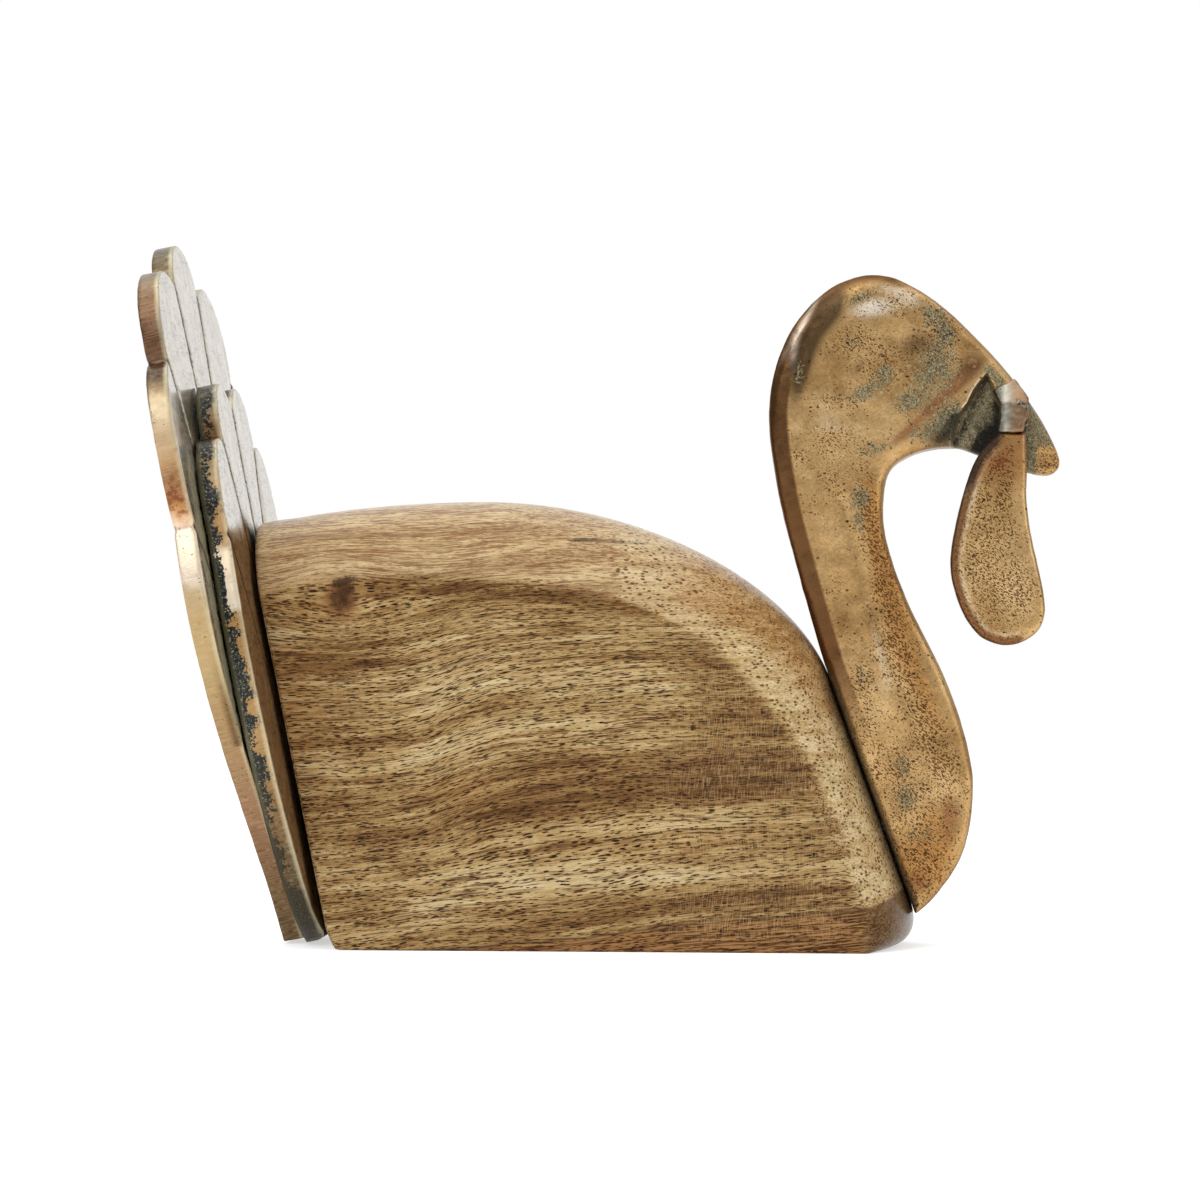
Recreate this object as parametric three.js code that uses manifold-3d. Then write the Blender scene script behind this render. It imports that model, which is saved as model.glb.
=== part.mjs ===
// Tabletop turkey: a wooden body with a cast metal neck and two cast tail fans.
// Millimetres. +X points to the head, +Z up, and the origin is the middle of the flat underside.
import * as THREE from 'three';
import { mergeVertices } from 'three/addons/utils/BufferGeometryUtils.js';
import Module from 'manifold-3d';

const wasm = await Module();
wasm.setup();

// Driving dimensions of the wooden body
const footLength = 176;
const crestHeight = 145.7;
const bodyThickness = 60;
const rearLean = THREE.MathUtils.degToRad(10.8);

// Driving dimensions of the neck casting
const neckReach = 96;
const neckHeight = 202;
const neckThickness = 24;
const neckDrop = 4.7;
const neckEdgeRadius = 3.5;
const beakThickness = 12;

// Driving dimensions of the snood and the lug that carries it
const snoodLength = 69;
const snoodWidth = 30;
const snoodThickness = 8;
const snoodEdgeRadius = 1.6;
const lugHeight = 17;
const lugWidth = 9.5;
const lugDepth = 10.5;

// Driving dimensions of the two tail fans
const largeFanHeight = 233.5;
const largeFanWidth = 140;
const smallFanHeight = 182.5;
const smallFanWidth = 112;
const fanThickness = 7.5;
const grooveWidth = 1.8;
const grooveDepth = 1.1;
const bossDiameter = 18;
const bossHeight = 4.2;

// Driving dimensions of the fasteners
const screwDiameter = 5;
const screwHeadDiameter = 10;
const screwHeadHeight = 3;
const screwLength = 56;
const screwPointLength = 6;
const recessWidth = 1.3;
const recessSpan = 5.6;
const recessDepth = 1.6;
const studDiameter = 6;
const studWoodLength = 34;
const studCastingLength = 13;
const studPointLength = 5;

// Clearances
const seatGap = 0.3;
const footClearance = 0.3;
const cutOverrun = 2;

// Counts of facets
const curveSteps = 12;
const crownSteps = 6;
const outlineSteps = 3;
const grooveSteps = 6;
const lobeSteps = 8;
const edgeSteps = 2;
const roundSides = 20;

// The crowned section starts at this angle, so the flat side meets the crown in a crease
const creaseAngle = THREE.MathUtils.degToRad(18);

// Middle profile of the body, as shares of footLength and crestHeight.
// The first point lies on the rear face, so it has a height alone.
const crownRearShare = 0.95;
const crownCrestShares = [-0.239, 1];
const crownRearHandleShares = [[-0.53, 0.985], [-0.37, 1]];
const breastTopShares = [0.409, 0.597];
const breastLowShares = [0.557, 0.103];
const crownFrontHandleShares = [[0.045, 1], [0.34, 0.825]];
const toeHandleShares = [[0.577, 0.035], [0.55, 0]];
const toeShare = 0.5;

// Edge of the flat side, in the same shares
const sideRearShare = 0.797;
const sideCrestShares = [-0.256, 0.829];
const sideRearHandleShares = [[-0.52, 0.811], [-0.398, 0.829]];
const sideBreastTopShares = [0.327, 0.487];
const sideBreastLowShares = [0.474, 0.082];
const sideFrontHandleShares = [[-0.028, 0.829], [0.261, 0.707]];
const sideToeHandleShares = [[0.48, 0.041], [0.48, 0.014]];
const sideToeShare = 0.48;

// Outline of the neck casting in its seat's frame, as shares of neckReach and neckHeight
const neckSeatShares = [0, 0.43];
const neckBackShares = [
  [0.022, 0.585], [0.053, 0.724], [0.122, 0.854], [0.262, 0.949], [0.448, 0.998],
  [0.63, 0.991], [0.774, 0.922], [0.893, 0.808], [0.966, 0.706], [0.989, 0.642],
];
const beakTipShares = [[0.985, 0.605], [0.95, 0.593], [0.905, 0.599]];
const neckFrontShares = [
  [0.819, 0.627], [0.733, 0.664], [0.655, 0.69], [0.543, 0.7], [0.446, 0.691], [0.391, 0.656],
  [0.346, 0.59], [0.341, 0.482], [0.371, 0.347], [0.368, 0.242], [0.331, 0.157], [0.229, 0.07],
];
const neckToeShares = [0.096, 0.02];
const beakReliefShares = [
  [0.849, 0.783], [0.596, 0.684], [0.596, 0.5], [1.3, 0.5], [1.3, 0.754], [0.86, 0.754],
];
const snoodHangShares = [0.865, 0.679];
const studHeightShares = [0.15, 0.31];

// Half outlines of the snood and the lug, as shares of their length and width
const snoodSideShares = [
  [-0.13, 0], [-0.36, -0.11], [-0.5, -0.27], [-0.63, -0.49], [-0.67, -0.63], [-0.63, -0.75],
  [-0.53, -0.86], [-0.38, -0.95], [-0.215, -0.99], [-0.05, -1], [0.12, -0.98], [0.27, -0.93],
  [0.34, -0.855], [0.33, -0.76], [0.27, -0.63], [0.19, -0.47], [0.145, -0.31], [0.15, -0.19], [0.14, 0],
];
const lugFaceShares = [[-0.46, 0], [0.42, 0], [0.5, 0.62], [0.05, 1], [-0.5, 0.78], [-0.27, 0.5]];
const lugSideShares = [[0, 0.24], [0, 1], [0.3, 1], [1, 0.52], [1, 0], [0.2, 0]];

// Lobes of one half of each fan, as shares of half the width and of the height.
// Each row runs up to its notch: first handle, second handle, notch.
const largeFootShare = 0.13;
const largeLobeShares = [
  [[0.34, 0.163], [1.257, 0.345], [0.921, 0.583]],
  [[1.04, 0.634], [1.11, 0.792], [0.771, 0.804]],
  [[0.843, 0.916], [0.5, 0.994], [0.29, 0.936]],
  [[0.19, 1.022], [-0.19, 1.022], [-0.29, 0.936]],
];
const largeGrooveShares = [
  [[0.921, 0.583], [0.486, 0.436], [0.186, 0.146]],
  [[0.771, 0.804], [0.314, 0.587], [0.114, 0.198]],
  [[0.29, 0.936], [0.114, 0.63], [0.043, 0.24]],
];
const smallFootShare = 0.18;
const smallLobeShares = [
  [[0.86, 0.088], [1.214, 0.452], [0.884, 0.728]],
  [[0.964, 0.783], [0.786, 0.915], [0.536, 0.896]],
  [[0.571, 1.015], [0.107, 1.048], [0, 0.974]],
];
const smallGrooveShares = [
  [[0.884, 0.728], [0.43, 0.518], [0.18, 0.16]],
  [[0.536, 0.896], [0.18, 0.683], [0.09, 0.215]],
  [[0, 0.974], [0, 0.59], [0, 0.187]],
];
const screwHeightShares = [0.3, 0.74];

const finishes = {
  wood: new THREE.MeshStandardMaterial({ color: 0xb08c5e, roughness: 0.6, metalness: 0 }),
  brass: new THREE.MeshStandardMaterial({ color: 0xab8654, roughness: 0.42, metalness: 0.9 }),
  blackenedBrass: new THREE.MeshStandardMaterial({ color: 0x8d7350, roughness: 0.5, metalness: 0.9 }),
  bareBraze: new THREE.MeshStandardMaterial({ color: 0xc9c2b6, roughness: 0.35, metalness: 0.9 }),
  steel: new THREE.MeshStandardMaterial({ color: 0x8f8f8c, roughness: 0.4, metalness: 1 }),
};

// Joining and cutting of closed shapes

function solidOf(geometry) {
  const bare = geometry.clone();
  bare.deleteAttribute('normal');
  bare.deleteAttribute('uv');
  const merged = mergeVertices(bare);
  const mesh = new wasm.Mesh({
    numProp: 3,
    vertProperties: new Float32Array(merged.attributes.position.array),
    triVerts: new Uint32Array(merged.index.array),
  });
  return new wasm.Manifold(mesh);
}

function geometryOf(solid) {
  const mesh = solid.getMesh();
  const geometry = new THREE.BufferGeometry();
  geometry.setAttribute('position', new THREE.BufferAttribute(mesh.vertProperties, 3));
  geometry.setIndex(new THREE.BufferAttribute(mesh.triVerts, 1));
  const flat = geometry.toNonIndexed();
  flat.computeVertexNormals();
  return flat;
}

function cutFrom(geometry, cutters) {
  let solid = solidOf(geometry);
  for (const cutter of cutters) {
    solid = solid.subtract(solidOf(cutter));
  }
  return geometryOf(solid);
}

function joined(geometries) {
  const solids = geometries.map(solidOf);
  return geometryOf(solids.slice(1).reduce((whole, piece) => whole.add(piece), solids[0]));
}

function common(first, second) {
  return geometryOf(solidOf(first).intersect(solidOf(second)));
}

// Placing helpers

function sized(shares, width, height) {
  return new THREE.Vector2(shares[0] * width, shares[1] * height);
}

function sizedRow(rows, width, height) {
  return rows.map((shares) => sized(shares, width, height));
}

// A flat shape drawn in X and Z, made thick along Y about the plane Y = 0
function uprightPlate(shape, thickness, edge, steps) {
  const geometry = new THREE.ExtrudeGeometry(shape, {
    depth: thickness - 2 * edge,
    curveSegments: steps,
    bevelEnabled: edge > 0,
    bevelThickness: edge,
    bevelSize: edge,
    bevelOffset: -edge,
    bevelSegments: edgeSteps,
  });
  geometry.translate(0, 0, edge - thickness / 2);
  geometry.rotateX(Math.PI / 2);
  return geometry;
}

// A flat shape drawn in Y and Z, made thick along +X from the plane X = start
function crossPlate(shape, start, thickness, steps) {
  const geometry = new THREE.ExtrudeGeometry(shape, {
    depth: thickness,
    curveSegments: steps,
    bevelEnabled: false,
  });
  const turn = new THREE.Matrix4().makeBasis(
    new THREE.Vector3(0, 1, 0),
    new THREE.Vector3(0, 0, 1),
    new THREE.Vector3(1, 0, 0),
  );
  geometry.applyMatrix4(turn);
  geometry.translate(start, 0, 0);
  return geometry;
}

// A turned pin along +X: the profile is a list of [distance along X, radius]
function turnedPin(profile, height) {
  const points = profile.map(([along, radius]) => new THREE.Vector2(radius, along));
  const geometry = new THREE.LatheGeometry(points, roundSides);
  geometry.rotateZ(-Math.PI / 2);
  geometry.translate(0, 0, height);
  return geometry;
}

function namedMesh(name, geometry, material) {
  const mesh = new THREE.Mesh(geometry, material);
  mesh.name = name;
  return mesh;
}

// Frames of the two seats: the sloping rear face, and the breast that the neck stands against

const footRear = -footLength / 2;
const breastTop = sized(breastTopShares, footLength, crestHeight);
const breastLow = sized(breastLowShares, footLength, crestHeight);
const breastLean = Math.atan2(breastLow.x - breastTop.x, breastTop.y - breastLow.y);

const tailSeat = new THREE.Matrix4().makeRotationY(-rearLean);
tailSeat.setPosition(footRear, 0, 0);
const neckFoot = breastLow.clone().add(breastLow.clone().sub(breastTop).setLength(neckDrop));
const neckSeat = new THREE.Matrix4().makeRotationY(-breastLean);
neckSeat.setPosition(neckFoot.x, 0, neckFoot.y);

const snoodHang = sized(snoodHangShares, neckReach, neckHeight);

// Wooden body: the middle profile and the side's edge blended over a crowned section

function profileOf(shares) {
  const rearHeight = shares.rear * crestHeight;
  const rearTop = new THREE.Vector2(footRear - rearHeight * Math.tan(rearLean), rearHeight);
  const crest = sized(shares.crest, footLength, crestHeight);
  const front = sized(shares.breastTop, footLength, crestHeight);
  const low = sized(shares.breastLow, footLength, crestHeight);
  const toe = new THREE.Vector2(shares.toe * footLength, 0);
  const rearHandles = sizedRow(shares.rearHandles, footLength, crestHeight);
  const frontHandles = sizedRow(shares.frontHandles, footLength, crestHeight);
  const toeHandles = sizedRow(shares.toeHandles, footLength, crestHeight);
  const stretches = [
    new THREE.CubicBezierCurve(rearTop, rearHandles[0], rearHandles[1], crest),
    new THREE.CubicBezierCurve(crest, frontHandles[0], frontHandles[1], front),
    new THREE.LineCurve(front, low),
    new THREE.CubicBezierCurve(low, toeHandles[0], toeHandles[1], toe),
  ];
  const points = [new THREE.Vector2(footRear, 0), rearTop];
  for (const stretch of stretches) {
    points.push(...stretch.getPoints(curveSteps).slice(1));
  }
  return points;
}

const middleProfile = profileOf({
  rear: crownRearShare,
  crest: crownCrestShares,
  breastTop: breastTopShares,
  breastLow: breastLowShares,
  toe: toeShare,
  rearHandles: crownRearHandleShares,
  frontHandles: crownFrontHandleShares,
  toeHandles: toeHandleShares,
});

const sideProfile = profileOf({
  rear: sideRearShare,
  crest: sideCrestShares,
  breastTop: sideBreastTopShares,
  breastLow: sideBreastLowShares,
  toe: sideToeShare,
  rearHandles: sideRearHandleShares,
  frontHandles: sideFrontHandleShares,
  toeHandles: sideToeHandleShares,
});

// Rings from the near side to the far side; each is the side profile pushed out to the crown
function crownRings() {
  const rings = [];
  for (let step = -crownSteps; step <= crownSteps; step += 1) {
    const angle = creaseAngle + (1 - Math.abs(step) / crownSteps) * (Math.PI / 2 - creaseAngle);
    const rise = (Math.sin(angle) - Math.sin(creaseAngle)) / (1 - Math.sin(creaseAngle));
    const across = Math.sign(step) * (bodyThickness / 2) * (Math.cos(angle) / Math.cos(creaseAngle));
    rings.push(sideProfile.map((side, index) => {
      const point = side.clone().lerp(middleProfile[index], rise);
      return new THREE.Vector3(point.x, across, point.y);
    }));
  }
  return rings;
}

// A closed skin over rings of equal length, with a flat face over the first and the last
function skinOver(rings) {
  const count = rings[0].length;
  const positions = rings.flat().flatMap((point) => point.toArray());
  const indices = [];
  for (let ring = 0; ring < rings.length - 1; ring += 1) {
    for (let index = 0; index < count; index += 1) {
      const a = ring * count + index;
      const b = ring * count + ((index + 1) % count);
      indices.push(a, b, b + count, a, b + count, a + count);
    }
  }
  const outline = rings[0].map((point) => new THREE.Vector2(point.x, point.z));
  const lastStart = (rings.length - 1) * count;
  for (const [a, b, c] of THREE.ShapeUtils.triangulateShape(outline, [])) {
    indices.push(a, b, c, lastStart + a, lastStart + c, lastStart + b);
  }
  const geometry = new THREE.BufferGeometry();
  geometry.setAttribute('position', new THREE.Float32BufferAttribute(positions, 3));
  geometry.setIndex(indices);
  return geometry;
}

const rearFaceHeight = crownRearShare * crestHeight / Math.cos(rearLean);
const screwHeights = screwHeightShares.map((share) => share * rearFaceHeight);
const seatLength = breastTop.distanceTo(breastLow);
const studHeights = studHeightShares.map((share) => share * neckHeight);

function screwHoleIn(height) {
  const reach = screwLength - screwHeadHeight;
  const radius = screwDiameter / 2 + seatGap;
  const hole = turnedPin([[-cutOverrun, 0], [-cutOverrun, radius], [reach, radius], [reach, 0]], height);
  return hole.applyMatrix4(tailSeat);
}

function studHoleIn(height) {
  const depth = studWoodLength + seatGap;
  const radius = studDiameter / 2 + seatGap;
  const hole = turnedPin([[-depth, 0], [-depth, radius], [cutOverrun, radius], [cutOverrun, 0]], height);
  return hole.applyMatrix4(neckSeat);
}

function woodenBody() {
  const block = skinOver(crownRings());
  const holes = [...screwHeights.map(screwHoleIn), ...studHeights.map(studHoleIn)];
  return namedMesh('wooden_body', cutFrom(block, holes), finishes.wood);
}

// Neck casting: the hook-shaped outline, thinned to a beak in front of a step on both sides

function neckOutline() {
  const shape = new THREE.Shape();
  const seatTop = sized(neckSeatShares, neckReach, neckHeight);
  shape.moveTo(0, 0);
  shape.lineTo(seatTop.x, seatTop.y);
  shape.splineThru(sizedRow(neckBackShares, neckReach, neckHeight));
  for (const point of sizedRow(beakTipShares, neckReach, neckHeight)) {
    shape.lineTo(point.x, point.y);
  }
  shape.splineThru(sizedRow(neckFrontShares, neckReach, neckHeight));
  const toe = sized(neckToeShares, neckReach, neckHeight);
  shape.lineTo(toe.x, toe.y);
  return shape;
}

// The relief beside the beak leaves a rim on top, which stops short of the lug
function beakReliefs(side) {
  const pocket = uprightPlate(
    new THREE.Shape(sizedRow(beakReliefShares, neckReach, neckHeight)), neckThickness, 0, 1,
  );
  const rimEnd = new THREE.BoxGeometry(neckReach, neckThickness, neckReach);
  rimEnd.translate((neckReach - lugWidth) / 2 - seatGap, 0, neckReach / 2);
  rimEnd.rotateY(breastLean);
  rimEnd.translate(snoodHang.x, 0, snoodHang.y);
  return [pocket, rimEnd].map(
    (relief) => relief.translate(0, side * (neckThickness + beakThickness) / 2, 0),
  );
}

function studHoleInCasting(height) {
  const depth = studCastingLength + seatGap;
  const radius = studDiameter / 2 + seatGap;
  return turnedPin([[-cutOverrun, 0], [-cutOverrun, radius], [depth, radius], [depth, 0]], height);
}

function neckCasting() {
  const blank = uprightPlate(neckOutline(), neckThickness, neckEdgeRadius, outlineSteps);
  blank.translate(seatGap, 0, 0);
  const cutters = [...beakReliefs(-1), ...beakReliefs(1), ...studHeights.map(studHoleInCasting)];
  return namedMesh('neck_casting', cutFrom(blank, cutters), finishes.brass);
}

function neckStud(name, height) {
  const radius = studDiameter / 2;
  const profile = [
    [-studWoodLength, 0],
    [studPointLength - studWoodLength, radius],
    [studCastingLength, radius],
    [studCastingLength, 0],
  ];
  return namedMesh(name, turnedPin(profile, height), finishes.steel);
}

// Snood and lug, hung upright from a point of the beak, on its near face

function snoodLug() {
  const face = new THREE.Shape(sizedRow(lugFaceShares, lugWidth, lugHeight));
  const side = new THREE.Shape(sizedRow(lugSideShares, lugDepth, lugHeight));
  const faceBlock = uprightPlate(face, 2 * lugDepth, 0, 1);
  faceBlock.translate(0, -lugDepth, 0);
  const sideBlock = crossPlate(side, -lugWidth, 2 * lugWidth, 1);
  sideBlock.rotateZ(Math.PI);
  return namedMesh('snood_lug', common(faceBlock, sideBlock), finishes.bareBraze);
}

function snoodCasting() {
  const points = sizedRow(snoodSideShares, snoodWidth, snoodLength);
  const shape = new THREE.Shape();
  shape.moveTo(points[0].x, points[0].y);
  shape.splineThru(points.slice(1));
  const plate = uprightPlate(shape, snoodThickness, snoodEdgeRadius, 1);
  plate.translate(0, snoodThickness / 2 - lugDepth, -seatGap);
  return namedMesh('snood_casting', plate, finishes.brass);
}

function neckGroup() {
  const group = new THREE.Group();
  neckSeat.decompose(group.position, group.quaternion, group.scale);
  group.add(neckCasting());
  group.add(neckStud('neck_stud_lower', studHeights[0]));
  group.add(neckStud('neck_stud_upper', studHeights[1]));
  const hanging = new THREE.Group();
  hanging.position.set(snoodHang.x, -beakThickness / 2 - seatGap, snoodHang.y);
  hanging.rotation.y = breastLean;
  hanging.add(snoodLug(), snoodCasting());
  group.add(hanging);
  return group;
}

// Tail fans: scalloped plates parallel to the rear face, grooved between the feathers

function fanOutline(foot, lobes, halfWidth, height, base) {
  const shape = new THREE.Shape();
  const place = (shares, side) => [side * shares[0] * halfWidth, base + shares[1] * height];
  const notches = [[foot, 0], ...lobes.map((lobe) => lobe[2])];
  shape.moveTo(...place(notches[0], 1));
  lobes.forEach((lobe) => {
    shape.bezierCurveTo(...place(lobe[0], 1), ...place(lobe[1], 1), ...place(lobe[2], 1));
  });
  const crossesMiddle = notches.at(-1)[0] < 0;
  const mirrored = crossesMiddle ? lobes.slice(0, -1) : lobes;
  [...mirrored.keys()].reverse().forEach((index) => {
    const [low, high] = mirrored[index];
    shape.bezierCurveTo(...place(high, -1), ...place(low, -1), ...place(notches[index], -1));
  });
  return shape;
}

// A groove is a curved ribbon from a notch towards the foot
function grooveRibbon(shares, side, halfWidth, height, base) {
  const [notch, bend, end] = shares.map(
    (pair) => new THREE.Vector2(side * pair[0] * halfWidth, base + pair[1] * height),
  );
  const start = notch.clone().add(notch.clone().sub(bend).setLength(cutOverrun));
  const curve = new THREE.QuadraticBezierCurve(start, bend, end);
  const left = [];
  const right = [];
  for (let step = 0; step <= grooveSteps; step += 1) {
    const point = curve.getPoint(step / grooveSteps);
    const along = curve.getTangent(step / grooveSteps);
    const offset = new THREE.Vector2(-along.y, along.x).multiplyScalar(grooveWidth / 2);
    left.push(point.clone().add(offset));
    right.unshift(point.clone().sub(offset));
  }
  return new THREE.Shape([...left, ...right]);
}

function grooveCutters(grooves, halfWidth, height, base, faceStart) {
  const cutters = [];
  for (const groove of grooves) {
    const sides = groove[0][0] === 0 ? [1] : [-1, 1];
    for (const side of sides) {
      const ribbon = grooveRibbon(groove, side, halfWidth, height, base);
      cutters.push(crossPlate(ribbon, faceStart, grooveDepth + cutOverrun, 1));
    }
  }
  return cutters;
}

// The plate's lower rear corner stays footClearance above the table
function fanBase(rearPlane) {
  return (footClearance - rearPlane * Math.sin(rearLean)) / Math.cos(rearLean);
}

function fanPlate(fan, rearPlane) {
  const base = fanBase(rearPlane);
  const halfWidth = fan.width / 2;
  const outline = fanOutline(fan.foot, fan.lobes, halfWidth, fan.height, base);
  const blank = crossPlate(outline, rearPlane, fanThickness, lobeSteps);
  const front = grooveCutters(fan.grooves, halfWidth, fan.height, base, rearPlane + fanThickness - grooveDepth);
  const rear = grooveCutters(fan.grooves, halfWidth, fan.height, base, rearPlane - cutOverrun);
  return cutFrom(blank, [...front, ...rear]);
}

const smallFanRear = -seatGap - bossHeight - fanThickness;
const largeFanRear = smallFanRear - seatGap - fanThickness;

function screwPassage(height) {
  const radius = screwDiameter / 2 + seatGap;
  const start = largeFanRear - cutOverrun;
  return turnedPin([[start, 0], [start, radius], [cutOverrun, radius], [cutOverrun, 0]], height);
}

function screwSink(height) {
  const rim = screwHeadDiameter / 2 + seatGap;
  const radius = screwDiameter / 2 + seatGap;
  const floor = largeFanRear + screwHeadHeight;
  const start = largeFanRear - cutOverrun;
  return turnedPin([[start, 0], [start, rim], [largeFanRear, rim], [floor, radius], [floor, 0]], height);
}

function screwBoss(height) {
  const radius = bossDiameter / 2;
  const start = -seatGap - bossHeight - fanThickness / 2;
  return turnedPin([[start, 0], [start, radius], [-seatGap, radius], [-seatGap, 0]], height);
}

function smallFan() {
  const fan = {
    width: smallFanWidth, height: smallFanHeight, foot: smallFootShare,
    lobes: smallLobeShares, grooves: smallGrooveShares,
  };
  const plate = joined([fanPlate(fan, smallFanRear), ...screwHeights.map(screwBoss)]);
  return namedMesh('tail_fan_small', cutFrom(plate, screwHeights.map(screwPassage)), finishes.blackenedBrass);
}

function largeFan() {
  const fan = {
    width: largeFanWidth, height: largeFanHeight, foot: largeFootShare,
    lobes: largeLobeShares, grooves: largeGrooveShares,
  };
  const cutters = [...screwHeights.map(screwPassage), ...screwHeights.map(screwSink)];
  return namedMesh('tail_fan_large', cutFrom(fanPlate(fan, largeFanRear), cutters), finishes.brass);
}

// Countersunk wood screw with a cross recess, its head flush with the back of the large fan
function tailScrew(name, height) {
  const radius = screwDiameter / 2;
  const start = largeFanRear;
  const end = start + screwLength;
  const blank = turnedPin([
    [start, 0],
    [start, screwHeadDiameter / 2],
    [start + screwHeadHeight, radius],
    [end - screwPointLength, radius],
    [end, 0],
  ], height);
  const slots = [[recessSpan, recessWidth], [recessWidth, recessSpan]].map(([across, up]) => {
    const slot = new THREE.BoxGeometry(2 * recessDepth, across, up);
    return slot.translate(start, 0, height);
  });
  return namedMesh(name, cutFrom(blank, slots), finishes.steel);
}

function tailGroup() {
  const group = new THREE.Group();
  tailSeat.decompose(group.position, group.quaternion, group.scale);
  group.add(smallFan(), largeFan());
  group.add(tailScrew('tail_screw_lower', screwHeights[0]));
  group.add(tailScrew('tail_screw_upper', screwHeights[1]));
  return group;
}

const turkey = new THREE.Group();
turkey.add(woodenBody(), neckGroup(), tailGroup());

export default turkey;
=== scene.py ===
"""Tabletop turkey: a crowned wooden body, a cast neck with a hanging snood, and two cast tail fans."""

import math

import bmesh
import bpy
import numpy as np
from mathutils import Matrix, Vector, noise
from mathutils.geometry import delaunay_2d_cdt


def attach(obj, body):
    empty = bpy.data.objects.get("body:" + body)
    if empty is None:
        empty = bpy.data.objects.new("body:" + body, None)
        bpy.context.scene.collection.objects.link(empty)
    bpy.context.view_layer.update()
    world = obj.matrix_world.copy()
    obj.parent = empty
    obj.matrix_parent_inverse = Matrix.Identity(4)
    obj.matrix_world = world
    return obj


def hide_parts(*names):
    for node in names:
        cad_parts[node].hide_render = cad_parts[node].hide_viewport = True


MM = 0.001

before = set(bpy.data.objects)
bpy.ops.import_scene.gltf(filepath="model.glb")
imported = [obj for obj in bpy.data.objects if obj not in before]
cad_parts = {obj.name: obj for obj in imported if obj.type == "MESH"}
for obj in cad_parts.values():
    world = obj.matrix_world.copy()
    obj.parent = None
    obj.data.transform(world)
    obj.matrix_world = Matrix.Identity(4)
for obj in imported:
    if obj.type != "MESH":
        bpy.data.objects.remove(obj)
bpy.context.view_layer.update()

# Sizes in mm, as in the part's source.

FOOT = 176.0
CREST = 145.7
THICK = 60.0
REAR_LEAN = math.radians(10.8)

NECK_REACH = 96.0
NECK_HEIGHT = 202.0
NECK_HALF = 12.0
NECK_DROP = 4.7
BEAK_HALF = 6.0

SNOOD_LENGTH = 69.0
SNOOD_WIDTH = 30.0
SNOOD_HALF = 4.0
LUG_DEPTH = 10.5

FAN_THICK = 7.5
BOSS_HEIGHT = 4.2
SEAT_GAP = 0.3
FOOT_CLEARANCE = 0.3

BREAST_TOP = np.array([0.409 * FOOT, 0.597 * CREST])
BREAST_LOW = np.array([0.557 * FOOT, 0.103 * CREST])
SEAT_DIR = (BREAST_LOW - BREAST_TOP) / np.linalg.norm(BREAST_LOW - BREAST_TOP)
BREAST_LEAN = math.atan2(SEAT_DIR[0], -SEAT_DIR[1])
NECK_FOOT = BREAST_LOW + NECK_DROP * SEAT_DIR

# Sizes in mm that only the visual model has.

NECK_ROUND = 3.3
SNOOD_ROUND = 2.0
PLATE_ROUND = 0.9
FOOT_ROUND = 4.2
SINK_RADIUS = 5.2
BOSS_RADIUS = 9.0
SEAT_EASE = 0.2

# Places in mm: the drilled mark on the head and the knot by X and Z, and, in the neck's own
# plane, the point that the snood hangs from. The seat is a share of the neck's height.

EYE = (118.2, 190.0)
KNOT = (-85.6, 115.2)
HANG_POINT = (0.865 * NECK_REACH, 0.679 * NECK_HEIGHT)
SEAT_SHARE = 0.43

# A painted spot is this much larger than its listed size.

SPREAD = 1.15

RAYS = ("Is Camera Ray", "Is Glossy Ray", "Is Transmission Ray")


# Curves.


def bezier(p0, p1, p2, p3, count):
    t = np.linspace(0, 1, count + 1)[:, None]
    p0, p1, p2, p3 = (np.array(p, float) for p in (p0, p1, p2, p3))
    return (1 - t) ** 3 * p0 + 3 * (1 - t) ** 2 * t * p1 + 3 * (1 - t) * t**2 * p2 + t**3 * p3


def line(p0, p1, count):
    t = np.linspace(0, 1, count + 1)[:, None]
    return np.array(p0, float) * (1 - t) + np.array(p1, float) * t


def through(points, per):
    """Uniform Catmull-Rom curve through the points."""
    p = np.array(points, float)
    ends = np.vstack([p[:1], p, p[-1:]])
    t = np.linspace(0, 1, per + 1)[:-1, None]
    rows = []
    for i in range(len(p) - 1):
        a, b, c, d = ends[i : i + 4]
        m0, m1 = (c - a) / 2, (d - b) / 2
        rows.append(
            (2 * t**3 - 3 * t**2 + 1) * b + (t**3 - 2 * t**2 + t) * m0
            + (-2 * t**3 + 3 * t**2) * c + (t**3 - t**2) * m1
        )
    return np.vstack([*rows, p[-1:]])


def even(path, step, closed=False):
    """The path at equal steps of arc length."""
    p = np.vstack([path, path[:1]]) if closed else np.array(path, float)
    seg = np.linalg.norm(np.diff(p, axis=0), axis=1)
    keep = np.concatenate([[True], seg > 1e-9])
    p, s = p[keep], np.concatenate([[0], np.cumsum(seg)])[keep]
    n = max(2, int(round(s[-1] / step)))
    at = np.linspace(0, s[-1], n + 1)
    out = np.stack([np.interp(at, s, p[:, k]) for k in range(p.shape[1])], 1)
    return out[:-1] if closed else out


def softened(loop, sigma, step):
    """A closed loop with its corners rounded by a Gaussian of sigma mm."""
    n = len(loop)
    freq = np.fft.fftfreq(n, d=step)
    gain = np.exp(-2 * (math.pi * freq * sigma) ** 2)[:, None]
    return np.real(np.fft.ifft(np.fft.fft(loop, axis=0) * gain, axis=0))


def inset(loop, amount):
    """A counterclockwise loop moved inwards."""
    tangent = np.roll(loop, -1, 0) - np.roll(loop, 1, 0)
    tangent /= np.linalg.norm(tangent, axis=1, keepdims=True) + 1e-12
    inward = np.stack([-tangent[:, 1], tangent[:, 0]], 1)
    return loop + inward * amount


def area_of(loop):
    x, y = loop[:, 0], loop[:, 1]
    return 0.5 * np.sum(x * np.roll(y, -1) - y * np.roll(x, -1))


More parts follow.
